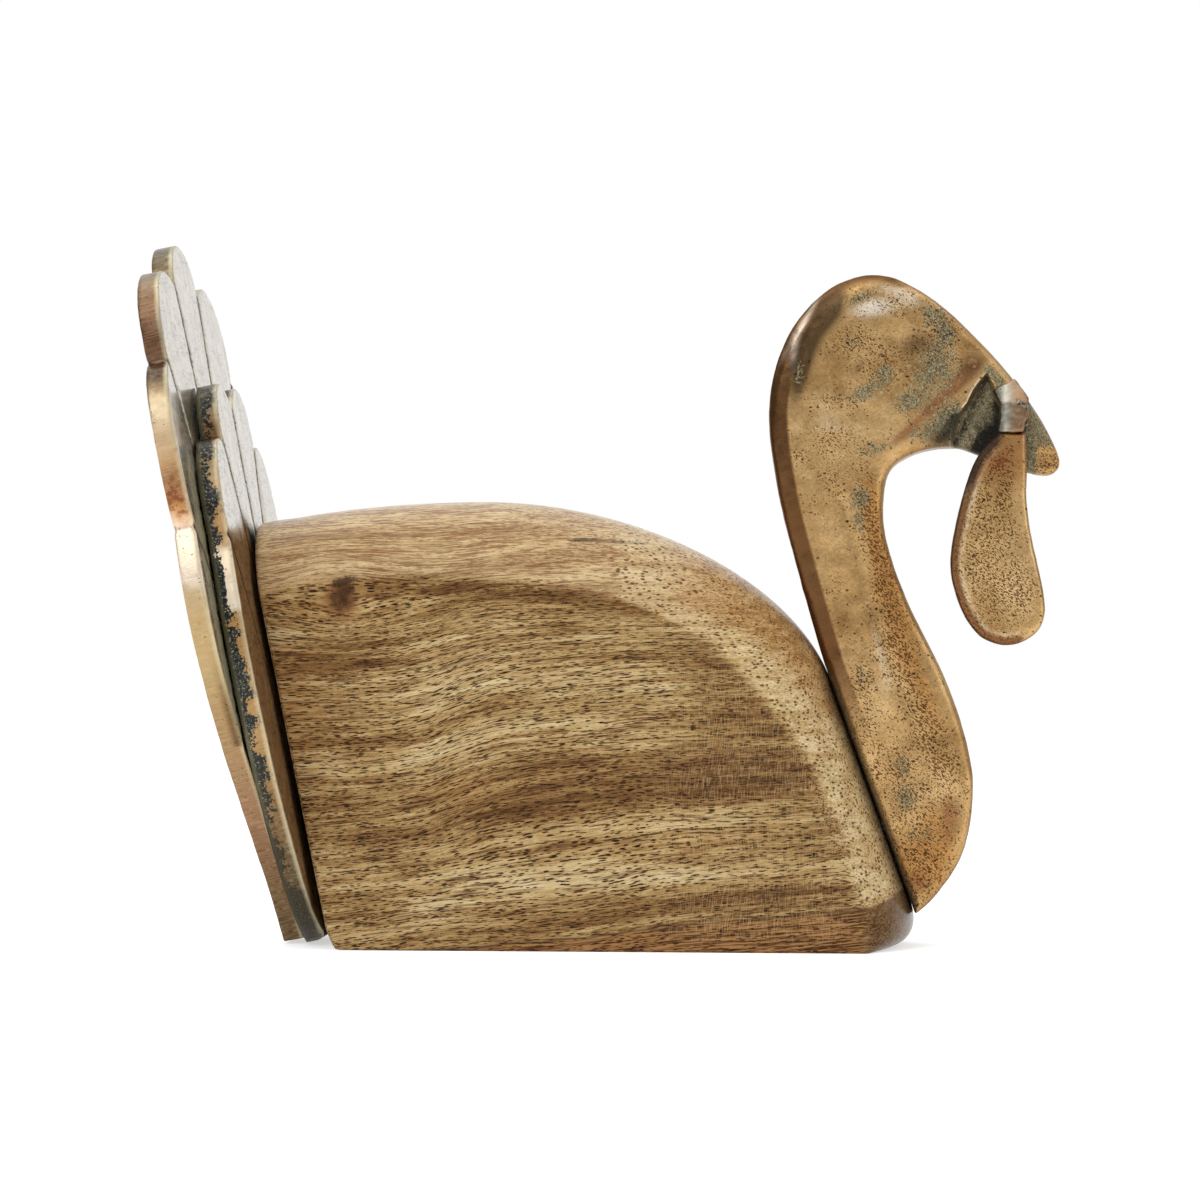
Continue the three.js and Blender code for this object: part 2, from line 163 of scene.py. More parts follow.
def distance_to(points, path, closed=True):
    """Distance to the nearest segment of a path, and that segment's number."""
    a = np.array(path, float)
    b = np.roll(a, -1, 0) if closed else a[1:]
    a = a if closed else a[:-1]
    ab = b - a
    length2 = (ab**2).sum(1) + 1e-12
    dist, which = [], []
    for chunk in np.array_split(points, max(1, len(points) // 1500)):
        ap = chunk[:, None, :] - a[None]
        t = np.clip((ap * ab[None]).sum(2) / length2, 0, 1)
        gap = ((ap - t[:, :, None] * ab[None]) ** 2).sum(2)
        k = gap.argmin(1)
        which.append(k)
        dist.append(np.sqrt(gap[np.arange(len(k)), k]))
    return np.concatenate(dist), np.concatenate(which)


def step01(x, low, high):
    t = np.clip((x - low) / (high - low), 0, 1)
    return t * t * (3 - 2 * t)


def waves(points, size, seed, octaves=2):
    """Smooth noise from -1 to 1 at rows of coordinates in mm."""
    p = np.atleast_2d(points)
    if p.shape[1] == 2:
        p = np.hstack([p, np.zeros((len(p), 1))])
    shift = Vector((seed * 17.3, seed * -9.1, seed * 5.7))
    out = np.zeros(len(p))
    for k in range(octaves):
        scale = 2.0**k / size
        weight = 0.5**k
        out += weight * np.array([noise.noise(Vector(q) * scale + shift) for q in p])
    return out


# Meshes.


def linked(name, data):
    obj = bpy.data.objects.new(name, data)
    bpy.context.scene.collection.objects.link(obj)
    return obj


def make_mesh(name, verts, faces, attributes, material):
    mesh = bpy.data.meshes.new(name)
    mesh.from_pydata([tuple(v) for v in (verts * MM)], [], faces)
    mesh.polygons.foreach_set("use_smooth", [True] * len(mesh.polygons))
    for key, values in attributes.items():
        values = np.asarray(values, np.float32)
        kind, field = ("FLOAT", "value") if values.ndim == 1 else ("FLOAT_VECTOR", "vector")
        layer = mesh.attributes.new(key, kind, "POINT")
        layer.data.foreach_set(field, values.ravel())
    mesh.materials.append(material)
    mesh.validate()
    mesh.update()
    return linked(name, mesh)


def inside(points, loop):
    """Whether each point lies in the closed loop."""
    x, y = points[:, 0][:, None], points[:, 1][:, None]
    x0, y0 = loop[:, 0][None], loop[:, 1][None]
    x1, y1 = np.roll(loop[:, 0], -1)[None], np.roll(loop[:, 1], -1)[None]
    over = (y0 > y) != (y1 > y)
    with np.errstate(divide="ignore", invalid="ignore"):
        cross = x < (x1 - x0) * (y - y0) / (y1 - y0) + x0
    return ((over & cross).sum(1) % 2).astype(bool)


def fill(outline, rings, grid, extra=None, margin=0.6):
    """Triangles inside a counterclockwise outline, with rows of points at the inset distances.
    Returns the points, the triangles and the numbers of the outline's points."""
    low, high = outline.min(0), outline.max(0)
    rows = []
    for k, z in enumerate(np.arange(low[1], high[1], grid * 0.866)):
        xs = np.arange(low[0] + (k % 2) * grid / 2, high[0], grid)
        rows.append(np.stack([xs, np.full(len(xs), z)], 1))
    inner = np.vstack(rows)
    inner = inner + np.stack([waves(inner, 3.1, s, 1) for s in (2, 5)], 1) * grid * 0.12
    found, _ = distance_to(inner, outline)
    last = max(rings) if rings else 0
    inner = inner[(found > last + margin * grid) & inside(inner, outline)]
    points = [outline]
    for d in rings:
        ring = inset(outline, d)
        gap, _ = distance_to(ring, outline)
        points.append(ring[(np.abs(gap - d) < 0.08 + 0.02 * d) & inside(ring, outline)])
    if extra is not None:
        gap, _ = distance_to(extra, outline)
        extra = extra[(gap > 0.35) & inside(extra, outline)]
        near, _ = distance_to(inner, extra, closed=False)
        inner = inner[near > 0.55 * grid]
        points.append(extra)
    points.append(inner)
    n = len(outline)
    verts, _, faces, came_from, _, _ = delaunay_2d_cdt(
        [Vector(p) for p in np.vstack(points)], [(i, (i + 1) % n) for i in range(n)], [], 1, 1e-5)
    where = {old: new for new, olds in enumerate(came_from) for old in olds}
    return np.array([tuple(v) for v in verts]), faces, [where[i] for i in range(n)]


def plate(name, outline, rings, grid, heights, place, masks, material, rows, rough, extra=None):
    """A thick plate: two faces whose heights above the middle plane are given, and a wall between.
    heights(p, d, k) returns both faces' heights, and masks(p, d, k, t) the attributes."""
    points, faces, loop = fill(outline, rings, grid, extra)
    d, k = distance_to(points, outline)
    d[loop] = 0
    front, back = heights(points, d, k)
    n, m = len(points), len(loop)
    layers = [np.column_stack([points, front]), np.column_stack([points, -back])]
    for share in np.arange(1, rows) / rows:
        t = front[loop] * (1 - share) - back[loop] * share
        layers.append(np.column_stack([points[loop], t]))
    local = np.vstack(layers)
    dist = np.concatenate([d, d, np.zeros(m * (rows - 1))])
    near = np.concatenate([k, k] + [k[loop]] * (rows - 1))
    polygons = [tuple(f) for f in faces] + [tuple(i + n for i in reversed(f)) for f in faces]
    walls = [2 * n + np.arange(r * m, (r + 1) * m) for r in range(rows - 1)]
    walls = [np.array(loop), *walls, np.array(loop) + n]
    for upper, lower in zip(walls[:-1], walls[1:]):
        corners = np.column_stack([upper, lower, np.roll(lower, -1), np.roll(upper, -1)])
        polygons += [tuple(f) for f in corners.tolist()]
    arc = np.cumsum(np.linalg.norm(np.diff(outline, axis=0), axis=1))
    arc = np.concatenate([[0], arc])
    attributes = masks(local[:, :2], dist, near, local[:, 2])
    attributes.update(plate=local, edge=dist, along=arc[np.clip(near, 0, len(arc) - 1)])
    world = place(local)
    obj = make_mesh(name, world, polygons, attributes, material)
    normals = np.zeros(len(world) * 3, np.float32)
    obj.data.vertices.foreach_get("normal", normals)
    bumps = waves(world, 5.0, 3, 1) * rough[0] + waves(world, 1.7, 8, 1) * rough[1]
    moved = world + normals.reshape(-1, 3) * (bumps - 0.5 * sum(rough))[:, None]
    obj.data.vertices.foreach_set("co", (moved * MM).astype(np.float32).ravel())
    obj.data.update()
    return obj


def rounding(d, radius):
    """Height, from 0 to 1, of a quarter round at distance d from an edge."""
    return np.sqrt(np.clip(1 - (1 - np.clip(d / radius, 0, 1)) ** 2, 0, 1))


def round_rings(radius, *degrees):
    """Inset distances that a quarter round reaches at these angles."""
    return [radius * (1 - math.cos(math.radians(a))) for a in degrees]


def rows_along(path, offsets, step):
    """Rows of points beside a path."""
    p = even(np.array(path, float), step)
    tangent = np.gradient(p, axis=0)
    tangent /= np.linalg.norm(tangent, axis=1, keepdims=True) + 1e-12
    normal = np.stack([-tangent[:, 1], tangent[:, 0]], 1)
    return np.vstack([p + normal * o for o in offsets])


def tail_place(x0):
    """Puts a fan's coordinates at a distance from the wood's leaning rear face."""
    c, s = math.cos(REAR_LEAN), math.sin(REAR_LEAN)

    def place(local):
        x, y, z = x0 + local[:, 2], local[:, 0], local[:, 1]
        return np.column_stack([-FOOT / 2 + x * c - z * s, y, x * s + z * c])

    return place


def neck_world(p):
    """X and Z in mm of points of the neck's own plane."""
    c, s = math.cos(BREAST_LEAN), math.sin(BREAST_LEAN)
    u, v = p[:, 0], p[:, 1]
    return np.column_stack([NECK_FOOT[0] + u * c - v * s, NECK_FOOT[1] + u * s + v * c])


def neck_local(q):
    """The same points back in the neck's own plane."""
    c, s = math.cos(BREAST_LEAN), math.sin(BREAST_LEAN)
    dx, dz = q[:, 0] - NECK_FOOT[0], q[:, 1] - NECK_FOOT[1]
    return np.column_stack([dx * c + dz * s, dz * c - dx * s])


def neck_place(local):
    q = neck_world(local[:, :2] - (SEAT_EASE, 0))
    return np.column_stack([q[:, 0], -local[:, 2], q[:, 1]])


def blob(p, x, y, rx, ry, tilt=0.0):
    """A soft oval spot with a top of 1."""
    c, s = math.cos(math.radians(tilt)), math.sin(math.radians(tilt))
    dx, dy = p[:, 0] - x, p[:, 1] - y
    return np.exp(-(((dx * c + dy * s) / rx) ** 2) - (((dy * c - dx * s) / ry) ** 2))


def paint(q, blobs):
    """Sum of soft oval spots: X, Z, half length, half height, tilt in degrees, strength."""
    total = sum(weight * blob(q, x, z, rx * SPREAD, rz * SPREAD, tilt)
                for x, z, rx, rz, tilt, weight in blobs)
    return np.clip(total, 0, 1)


# Material nodes. Colours are display values from 0 to 255.


def rgb(red, green, blue):
    """Linear colour with alpha from display values."""
    out = []
    for v in (red, green, blue):
        c = v / 255
        out.append(c / 12.92 if c <= 0.04045 else ((c + 0.055) / 1.055) ** 2.4)
    return (*out, 1)


class Value:
    """A node's output. Arithmetic on it adds math nodes."""

    def __init__(self, nodes, socket):
        self.nodes, self.socket = nodes, socket

    def __add__(self, other):
        return self.nodes.math("ADD", self, other)

    def __radd__(self, other):
        return self.nodes.math("ADD", other, self)

    def __sub__(self, other):
        return self.nodes.math("SUBTRACT", self, other)

    def __rsub__(self, other):
        return self.nodes.math("SUBTRACT", other, self)

    def __mul__(self, other):
        return self.nodes.math("MULTIPLY", self, other)

    def __truediv__(self, other):
        return self.nodes.math("DIVIDE", self, other)

    def __pow__(self, other):
        return self.nodes.math("POWER", self, other)

    def fade(self, low, high, out_low=0.0, out_high=1.0):
        """Smooth step from low to high."""
        return self.nodes.add("Result", "ShaderNodeMapRange", {
            "Value": self, "From Min": low, "From Max": high, "To Min": out_low, "To Max": out_high,
        }, interpolation_type="SMOOTHSTEP")


def about(value, weight):
    """How far a noise is from its middle, times a weight."""
    return (value - 0.5) * weight


class Nodes:
    """Builds the nodes of a material or world, one call for each node."""

    def __init__(self, owner):
        owner.use_nodes = True
        self.owner, self.tree = owner, owner.node_tree

    def put(self, socket, value):
        if isinstance(value, Value):
            self.tree.links.new(value.socket, socket)
        elif isinstance(value, tuple) and socket.type == "RGBA" and len(value) == 3:
            socket.default_value = rgb(*value)
        else:
            socket.default_value = value

    def node(self, kind, links=(), **settings):
        node = self.tree.nodes.new(kind)
        for key, value in settings.items():
            setattr(node, key, value)
        for key, value in dict(links).items():
            self.put(node.inputs[key], value)
        return node

    def outputs(self, kind, links=(), keys=(0, 1, 2)):
        node = self.node(kind, links)
        return [Value(self, node.outputs[key]) for key in keys]

    def add(self, output, kind, links=(), **settings):
        return Value(self, self.node(kind, links, **settings).outputs[output])

    def shade(self, inputs):
        """Fills in the shader's inputs and returns the material."""
        shader = self.tree.nodes["Principled BSDF"]
        for key, value in inputs.items():
            self.put(shader.inputs[key], value)
        return self.owner

    def attribute(self, name, output="Fac"):
        return self.add(output, "ShaderNodeAttribute", attribute_name=name)

    def attributes(self, names):
        return [self.attribute(name) for name in names.split()]

    def place(self):
        """Object coordinates in mm."""
        return self.vector("MULTIPLY", self.add("Object", "ShaderNodeTexCoord"), (1 / MM,) * 3)

    def vector(self, operation, a, b):
        return self.add(0, "ShaderNodeVectorMath", {0: a, 1: b}, operation=operation)

    def turned(self, vector, degrees):
        """The coordinates turned about Y, so that X runs up at this angle."""
        return self.add(0, "ShaderNodeVectorRotate", {
            "Vector": vector, "Axis": (0, 1, 0), "Angle": math.radians(degrees),
        }, rotation_type="AXIS_ANGLE")

    def sized(self, vector, size, shift):
        """The coordinates moved by a shift, then divided by a size."""
        if shift:
            vector = self.vector("ADD", vector, shift)
        return self.vector("MULTIPLY", vector, tuple(1 / s for s in size)) if size else vector

    def noise(self, vector, size, detail=2.0, rough=0.5, shift=None, distortion=0.0):
        """Noise with features of this size in mm, one number or one for each axis."""
        sizes = size if isinstance(size, tuple) else None
        return self.add("Fac", "ShaderNodeTexNoise", {
            "Vector": self.sized(vector, sizes, shift), "Scale": 1.0 if sizes else 1 / size,
            "Detail": detail, "Roughness": rough, "Distortion": distortion,
        })

    def specks(self, vector, size, radius, density, shift=None):
        """Oval specks, 1 inside: one in each kept cell of this size, with radius as a share of it."""
        colour, distance = self.outputs("ShaderNodeTexVoronoi", {
            "Vector": self.sized(vector, size, shift), "Scale": 1.0, "Randomness": 1.0,
        }, ("Color", "Distance"))
        chance = self.split(colour)
        kept = self.math("GREATER_THAN", chance[0] + density, 1.0)
        reach = radius * 0.5 + chance[1] * (radius * 0.5)
        return kept * (1 - (distance / reach).fade(0.65, 1.1))

    def math(self, operation, a, b=0.0, clamp=False):
        return self.add(0, "ShaderNodeMath", {0: a, 1: b}, operation=operation, use_clamp=clamp)

    def most(self, first, *others):
        for other in others:
            first = self.math("MAXIMUM", first, other)
        return first

    def mix(self, share, a, b):
        return self.add(2, "ShaderNodeMix", {0: share, 6: a, 7: b}, data_type="RGBA")

    def ramp(self, value, stops):
        """Colours by value, from rows of position, red, green and blue."""
        node = self.node("ShaderNodeValToRGB", {"Fac": value})
        ramp = node.color_ramp
        while len(ramp.elements) < len(stops):
            ramp.elements.new(0.5)
        for element, (at, *colour) in zip(ramp.elements, stops):
            element.position = at
            element.color = rgb(*colour)
        return Value(self, node.outputs["Color"])

    def split(self, vector):
        return self.outputs("ShaderNodeSeparateXYZ", {0: vector})

    def bump(self, height, distance, strength, normal=None):
        links = {"Height": height, "Distance": distance, "Strength": strength}
        if normal:
            links["Normal"] = normal
        return self.add("Normal", "ShaderNodeBump", links)


def wood_material():
    """Mango wood: short dark pores along the grain, wavy bands, a knot and a red-brown lower edge, with
    painted light on the crown and painted shade at the breast and the neck's seat.
    """
    n = Nodes(bpy.data.materials.new("mango_wood"))
    grain, flow = n.attribute("grain", "Vector"), n.attribute("flow", "Vector")
    knot, heart, rays, dark_at, light_at, orange_at, front, crown, contact = n.attributes(
        "knot heart rays dark light orange front crown contact")
    at = n.place()
    wide = n.noise(flow, (80, 24, 9), 3, 0.6, distortion=0.3)
    bands = n.noise(flow, (44, 6, 2.4), 3, 0.65, distortion=0.25)
    lines = n.noise(flow, (16, 0.7, 0.5), 2, 0.65)
    streak = n.noise(flow, (24, 3, 1.3), 3, 0.65, (7, 3, 50))
    hair = n.noise(flow, (22, 0.9, 0.48), 1, shift=(3, 9, 1))
    fibre = n.noise(grain, (2.2, 0.34, 0.34), 1)
    blotch = n.noise(grain, (12, 5, 3))
    speckle = n.noise(at, 0.4, 0)

    tone = sum([
        about(wide, 0.48), about(bands, 0.66), about(lines, 0.50), about(fibre, 0.30),
        about(blotch, 0.24), dark_at * -0.28, light_at * 0.18, front * 0.10, rays * -0.07,
        about(speckle, 0.24)], 0.545)
    colour = n.ramp(tone, [
        (0.12, 88, 58, 30), (0.30, 128, 93, 54), (0.44, 163, 129, 80), (0.56, 192, 161, 108),
        (0.72, 217, 192, 143), (0.90, 233, 214, 171)])
    # Orange spots, and painted shade toward the breast's outline, tinted orange.
    colour = n.mix(orange_at * 0.60, colour, n.mix(0.75, colour, (186, 128, 66)))
    # The crown is mixed halfway to a paler tan: its own tone and painted light from above.
    colour = n.mix(crown * 0.5, colour, n.mix(0.5, colour, (210, 184, 150)))
    grained = (hair + crown * -0.055).fade(0.385, 0.335) * (0.72 - front * 0.5)
    colour = n.mix(grained, colour, n.mix(crown, (104, 64, 36), (132, 90, 56)))
    streaks = streak.fade(0.54, 0.66) * (0.70 - front * 0.55)
    colour = n.mix(streaks, colour, n.mix(crown, (104, 66, 36), (150, 102, 68)))
    foot = n.mix(lines.fade(0.36, 0.60), (84, 50, 26), (176, 130, 80))
    colour = n.mix(heart * 0.86, colour, foot)
    rim = heart.fade(0.10, 0.45) * heart.fade(1.05, 0.60)
    colour = n.mix(rim * 0.6, colour, (70, 42, 26))

    density = 0.92 + about(bands, -1.0) + dark_at * 0.22 - light_at * 0.12
    density = density - crown * 0.16 - front * 0.16
    first = n.specks(grain, (3.3, 0.66, 0.60), 0.42, density)
    second = n.specks(grain, (4.2, 0.62, 0.56), 0.42, density, (41.7, 3.3, 8.9))
    banded = bands.fade(0.60, 0.44, 0.15, 0.85)
    third = n.specks(flow, (12, 0.72, 0.60), 0.40, banded, (11.1, 7.7, 2.9))
    pores = n.most(first, second, third * 0.85) * (1 - n.most(crown, front * 1.6) * 0.40)
    ink = n.mix(blotch.fade(0.36, 0.60), (36, 21, 10), (76, 44, 20))
    ink = n.mix(n.most(crown * 0.85, front * 0.7), ink, (124, 82, 50))
    colour = n.mix(pores, colour, ink)
    dots = n.specks(grain, (2.1, 1.20, 1.10), 0.48, front * 0.98, (5.1, 8.3, 2.7))
    pores = n.most(pores, dots)
    colour = n.mix(dots * 0.90, colour, (98, 60, 32))

    flecks = n.noise(grain, (0.36, 3, 3.6), 1).fade(0.50, 0.64) * rays
    flecks = flecks * bands.fade(0.35, 0.60, 0.40, 1.0)
    colour = n.mix(flecks * 0.46, colour, (200, 172, 124))
    knotty = n.ramp(knot + about(n.noise(at, (2, 8, 2), 3), 0.7), [
        (0.15, 172, 130, 80), (0.45, 136, 94, 56), (0.72, 96, 64, 38), (0.95, 60, 38, 24)])
    colour = n.mix(knot.fade(0.06, 0.60) * (1 - pores * 0.6), colour, knotty)

    x, y, z = n.split(at)
    near = y.fade(-2, -12)
    ragged = about(n.noise(at, 1.6), 1.9)

    def spot(px, pz, half_x, half_z, tilt, weight):
        """A dark mark on the near side."""
        dx = x - px
        dz = z - pz - dx * tilt
        square = (dx * (1 / half_x)) ** 2.0 + (dz * (1 / half_z)) ** 2.0
        return (1 - (square + ragged).fade(0.3, 1.3)) * near * weight

    marks = n.most(*(spot(*row) for row in (
        (-7.5, 132.8, 5.5, 0.8, 0.02, 0.9), (5, 132, 9, 0.6, -0.05, 0.55),
        (28.1, 72.2, 0.95, 0.95, 0, 1), (-105, 94.2, 4.2, 1.1, 0.75, 0.6),
        (-85, 119.3, 4.6, 1.7, 0.22, 1), (-83.6, 117.2, 2.6, 2, 0, 0.7))))
    colour = n.mix(marks * 0.88, colour, (58, 38, 22))
    grazing = n.add("Facing", "ShaderNodeLayerWeight", {"Blend": 0.5})
    # The base colour takes a painted contact shadow where the neck sits.
    return n.shade({
        "Base Color": n.mix(contact * 0.75, colour, (38, 26, 16)), "Roughness": 0.50 + pores * 0.3,
        "Specular IOR Level": 0.07, "Coat Weight": grazing.fade(0.20, 0.72, 0.08, 0.92),
        "Coat Roughness": 0.26, "Normal": n.bump(lines * 0.3 - pores, 0.00016, 0.45)})


def brass_material():
    """Antique brass finish on a casting, with pits, grey-green patches, rubbed metal, painted highlights
    and glints, and painted shade along the edges, in the beak's recess and at the seat on the wood.
    """
    n = Nodes(bpy.data.materials.new("antique_brass"))
    at = n.place()
    smoke, pale, green_at, warm, rust, pitted, band, soot, gleam, scratched = n.attributes(
        "smoke pale green warm rust pitted band soot gleam hollow")
    broad = n.noise(at, 24, rough=0.55)
    cloud = n.noise(at, 7, 4, 0.62, (31, 7, 3))
    grit = n.noise(at, 1, rough=0.7)
    fine = n.noise(at, 0.42, 1, shift=(3, 3, 8))
    wear = n.noise(n.turned(at, 42), (9, 1, 0.8))
    worms = n.noise(n.turned(at, -38), (0.92, 0.66, 0.42), 1.5, 0.6)
    brushed = n.noise(n.turned(at, 35), (0.7, 2, 8), rough=0.7)

    def ragged(mask, low, high, reach=0.9):
        spread = mask + about(cloud, reach) + about(grit, reach * 0.7)
        return spread.fade(low, high) * mask.fade(0.02, 0.12)

    tone = sum([about(broad, 0.42), about(cloud, 0.26), about(grit, 0.16), about(fine, 0.10),
                about(wear, 0.05)], 0.5)
    colour = n.ramp(tone, [
        (0.34, 136, 100, 60), (0.45, 174, 137, 88), (0.55, 200, 164, 112), (0.66, 222, 190, 140)])
    # Painted highlights, with some rubbed metal: paler brass.
    colour = n.mix(ragged(pale, 0.30, 0.85, 0.5) * 0.85, colour, (236, 214, 182))
    ochre = n.mix(grit, (150, 100, 48), (204, 148, 82))
    colour = n.mix(ragged(warm, 0.20, 0.90) * 0.62, colour, ochre)
    colour = n.mix(ragged(rust, 0.20, 0.85, 0.7) * 0.72, colour, (138, 88, 58))
    umber = n.mix(cloud, (58, 36, 21), (110, 72, 43))
    # Painted shade in the band along the edges: umber.
    colour = n.mix(band * (0.74 + cloud * 0.35), colour, umber)
    # Painted shade, with some darker metal: dark brown.
    colour = n.mix(ragged(smoke, 0.12, 0.95, 0.5) * 0.84, colour, (60, 46, 32))
    # Painted glints, near white.
    colour = n.mix(gleam * 0.95, colour, (253, 242, 226))

    green = (grit + green_at * 0.30).fade(0.61, 0.67) * green_at.fade(0.06, 0.30)
    crust = n.ramp(grit * 0.4 + fine * 0.6, [
        (0.38, 38, 38, 30), (0.46, 84, 84, 64), (0.54, 128, 124, 96), (0.64, 176, 164, 128)])
    colour = n.mix(green * 0.85, colour, crust)

    crowd = n.noise(at, 8, shift=(3, 51, 9)).fade(0.44, 0.66)
    packed = pitted * cloud.fade(0.36, 0.54, 0.45, 1.0) + crowd * 0.20
    marks = (worms + packed * 0.105).fade(0.625, 0.675) * packed.fade(0.05, 0.30, 0.25, 1.0)
    dots = n.specks(at, (0.95, 0.9, 0.95), 0.46, 0.06 + packed * 0.36, (9, 2, 5))
    large = n.specks(at, (2.4, 2.2, 1.9), 0.34, 0.07 + packed * 0.30, (4, 8, 1))
    pits = n.most(marks, dots * 0.9, large) * (1 - band * 0.75)
    colour = n.mix(pits * 0.90, colour, n.mix(cloud.fade(0.40, 0.60), (34, 23, 15), (98, 60, 30)))
    colour = n.mix(scratched * brushed.fade(0.40, 0.62) * 0.5, colour, (172, 166, 142))
    ash = grit * 0.45 + fine * 0.25 + brushed * 0.30
    # Grey crust, going near black where painted shadow is strong.
    darkened = n.ramp(ash - soot.fade(0.45, 0.95, 0.0, 0.17), [
        (0.32, 8, 9, 8), (0.42, 34, 34, 28), (0.52, 86, 84, 70), (0.64, 150, 144, 118)])

    covered = n.most(green * 0.8, soot)
    rough = 0.24 + grit * 0.18 + packed * 0.10 - band * 0.06 + covered * 0.3
    rolling = n.bump(cloud * (1 - band * 0.8), 0.0006, 0.32)
    height = (grit * 0.4 - pits * 1.1 + green * 0.3) * (1 - band * 0.85)
    return n.shade({
        "Base Color": n.mix(soot * 0.94, colour, darkened), "Metallic": 0.97 - covered * 0.6,
        "Roughness": n.math("MINIMUM", rough, 0.9), "Specular IOR Level": 0.3,
        "Normal": n.bump(height, 0.00022, 0.85, rolling)})


def fan_material(name, edge_stops, speckled):
    """Cast plate: lacquered satin faces with grey blotches, and a brushed or a blackened edge, with painted
    reflections, painted shadow in the gap behind the wood and painted highlights on the edge.
    """
    n = Nodes(bpy.data.materials.new(name))
    at = n.place()
    local = n.attribute("plate", "Vector")
    sideways, _, across = n.split(local)
    along, edge, groove, mottled, hidden, stain, lip = n.attributes(
        "along edge groove mottled hidden stain lip")
    wall = 1 - edge.fade(0.3, 0.85)
    broad = n.noise(at, 20)
    cloud = n.noise(at, 6, 3, 0.62)
    grit = n.noise(at, 0.9, rough=0.65)
    fine = n.noise(at, 0.42, 1, shift=(3, 3, 8))
    streak = n.noise(local, (3, 26, 1))

    face = n.ramp(cloud * 0.6 + streak * 0.4, [
        (0.34, 150, 138, 116), (0.50, 184, 172, 150), (0.66, 206, 195, 173)])
    blotch = n.noise(local, (7, 2.2, 1), 3, 0.7, (9, 4, 1))
    small = n.noise(local, (4, 0.9, 1), 2, 0.7, (2, 7, 1))
    flecked = n.most(blotch.fade(0.56, 0.64), small.fade(0.575, 0.64) * 0.85)
    face = n.mix(flecked * mottled * 0.95, face, (50, 50, 47))
    # Painted reflection of the wood, brown, on the small fan's face behind it, and painted shadow, near
    # black, deep in the gap.
    gap_shadow = n.math("ABSOLUTE", sideways).fade(17, 11)
    shade = n.mix(gap_shadow, n.mix(cloud, (78, 50, 24), (140, 102, 58)), (14, 11, 9))
    face = n.mix(hidden * 0.94, face, shade)
    face = n.mix(hidden * flecked * 0.35, face, (46, 34, 22))
    # Painted reflection of the small fan's edge on the large fan's face: olive.
    face = n.mix(stain * 0.88, face, n.mix(cloud, (88, 84, 58), (146, 140, 106)))
    face = n.mix(groove * 0.96, face, (22, 19, 20))

    lined = n.add("Vector", "ShaderNodeCombineXYZ", {
        0: along * (1 / 0.42) + across * 0.22, 1: across * (1 / 12), 2: 0.0})
    brush = n.noise(lined, 1, rough=0.7)
    level = n.split(at)[2] * (1 / 235) + about(cloud, 0.045) + about(brush, 0.012)
    # The edge's colour by height, with a painted highlight band near the middle height.
    rim = n.ramp(level, edge_stops)
    rim = n.mix(brush.fade(0.40, 0.66, 0.0, 0.34), rim, n.mix(0.5, rim, (226, 204, 170)))
    rim = n.mix(brush.fade(0.46, 0.32, 0.0, 0.40), rim, n.mix(0.5, rim, (84, 60, 38)))
    rusty = n.specks(at, (3.6, 3.6, 3.2), 0.30, broad.fade(0.46, 0.62, 0.05, 0.5), (5, 5, 5)) * 0.6
    if speckled:
        rim = n.mix(rusty, rim, (108, 56, 28))
        # Gold in the painted highlight band.
        highlight_band = level.fade(0.462, 0.480) * level.fade(0.572, 0.556) * across.fade(-0.8, 1.4)
        patch = n.noise(at, 9, 3, 0.6, (6, 6, 21))
        blend = about(patch, 1.4) + about(grit, 0.6) + (across - 0.4) * 0.065 + highlight_band * 0.5
        gilded = blend.fade(-0.01, 0.035)
        black = n.ramp(grit * 0.55 + fine * 0.45, [
            (0.40, 16, 20, 21), (0.50, 38, 43, 42), (0.57, 80, 80, 68), (0.66, 190, 178, 150)])
        earth = n.mix(grit, (34, 32, 20), (84, 72, 46))
        black = n.mix(level.fade(0.34, 0.10, 0.0, 0.85), black, earth)
        rim = n.mix(gilded, black, rim)
        back = (across + about(grit, 2.0)).fade(-1.7, -2.7)
        olive = n.mix(cloud, (74, 72, 50), (128, 124, 94))
        olive = n.mix(level.fade(0.34, 0.10, 0.0, 0.8), olive, (50, 44, 28))
        rim = n.mix(back * 0.9, rim, olive)
    else:
        strip = level.fade(0.590, 0.605) * level.fade(0.650, 0.630)
        worn = strip * n.noise(at, 1.8, rough=0.7).fade(0.46, 0.56)
        rim = n.mix(n.most(rusty, worn * 0.7), rim, (108, 56, 28))
    # Painted highlight line along the front corner of the edge.
    rim = n.mix(lip * 0.5, rim, (216, 206, 172))
    hollow = n.specks(at, (1.4, 1.2, 1.2), 0.30, wall * cloud.fade(0.48, 0.64, 0.04, 0.4))
    colour = n.mix(hollow * 0.7, n.mix(wall, face, rim), (60, 44, 32))

    cover = n.most(hidden, stain)
    dull = n.most((1 - wall) * cover * 1.35, groove)
    if speckled:
        dull = n.most(dull, wall * n.most(1 - gilded, back))
    cover = n.most(cover, groove)
    rough = 0.16 + grit * 0.12 + wall * 0.16
    coat = 1 - n.most(wall * 0.6, cover)
    height = grit * 0.35 + brush * wall * 0.8 - hollow
    return n.shade({
        "Base Color": colour,
        "Specular IOR Level": n.math("SUBTRACT", 0.5, dull * 0.36, clamp=True),
        "Metallic": n.math("SUBTRACT", 0.95, dull * 0.65, clamp=True),
        "Roughness": n.math("ADD", rough, cover * 0.6, clamp=True),
        "Coat Weight": coat * level.fade(0.04, 0.34, 0.15, 0.7), "Coat Roughness": 0.16,
        "Normal": n.bump(height, 0.00012, 0.55, n.bump(cloud, 0.0005, 0.3))})


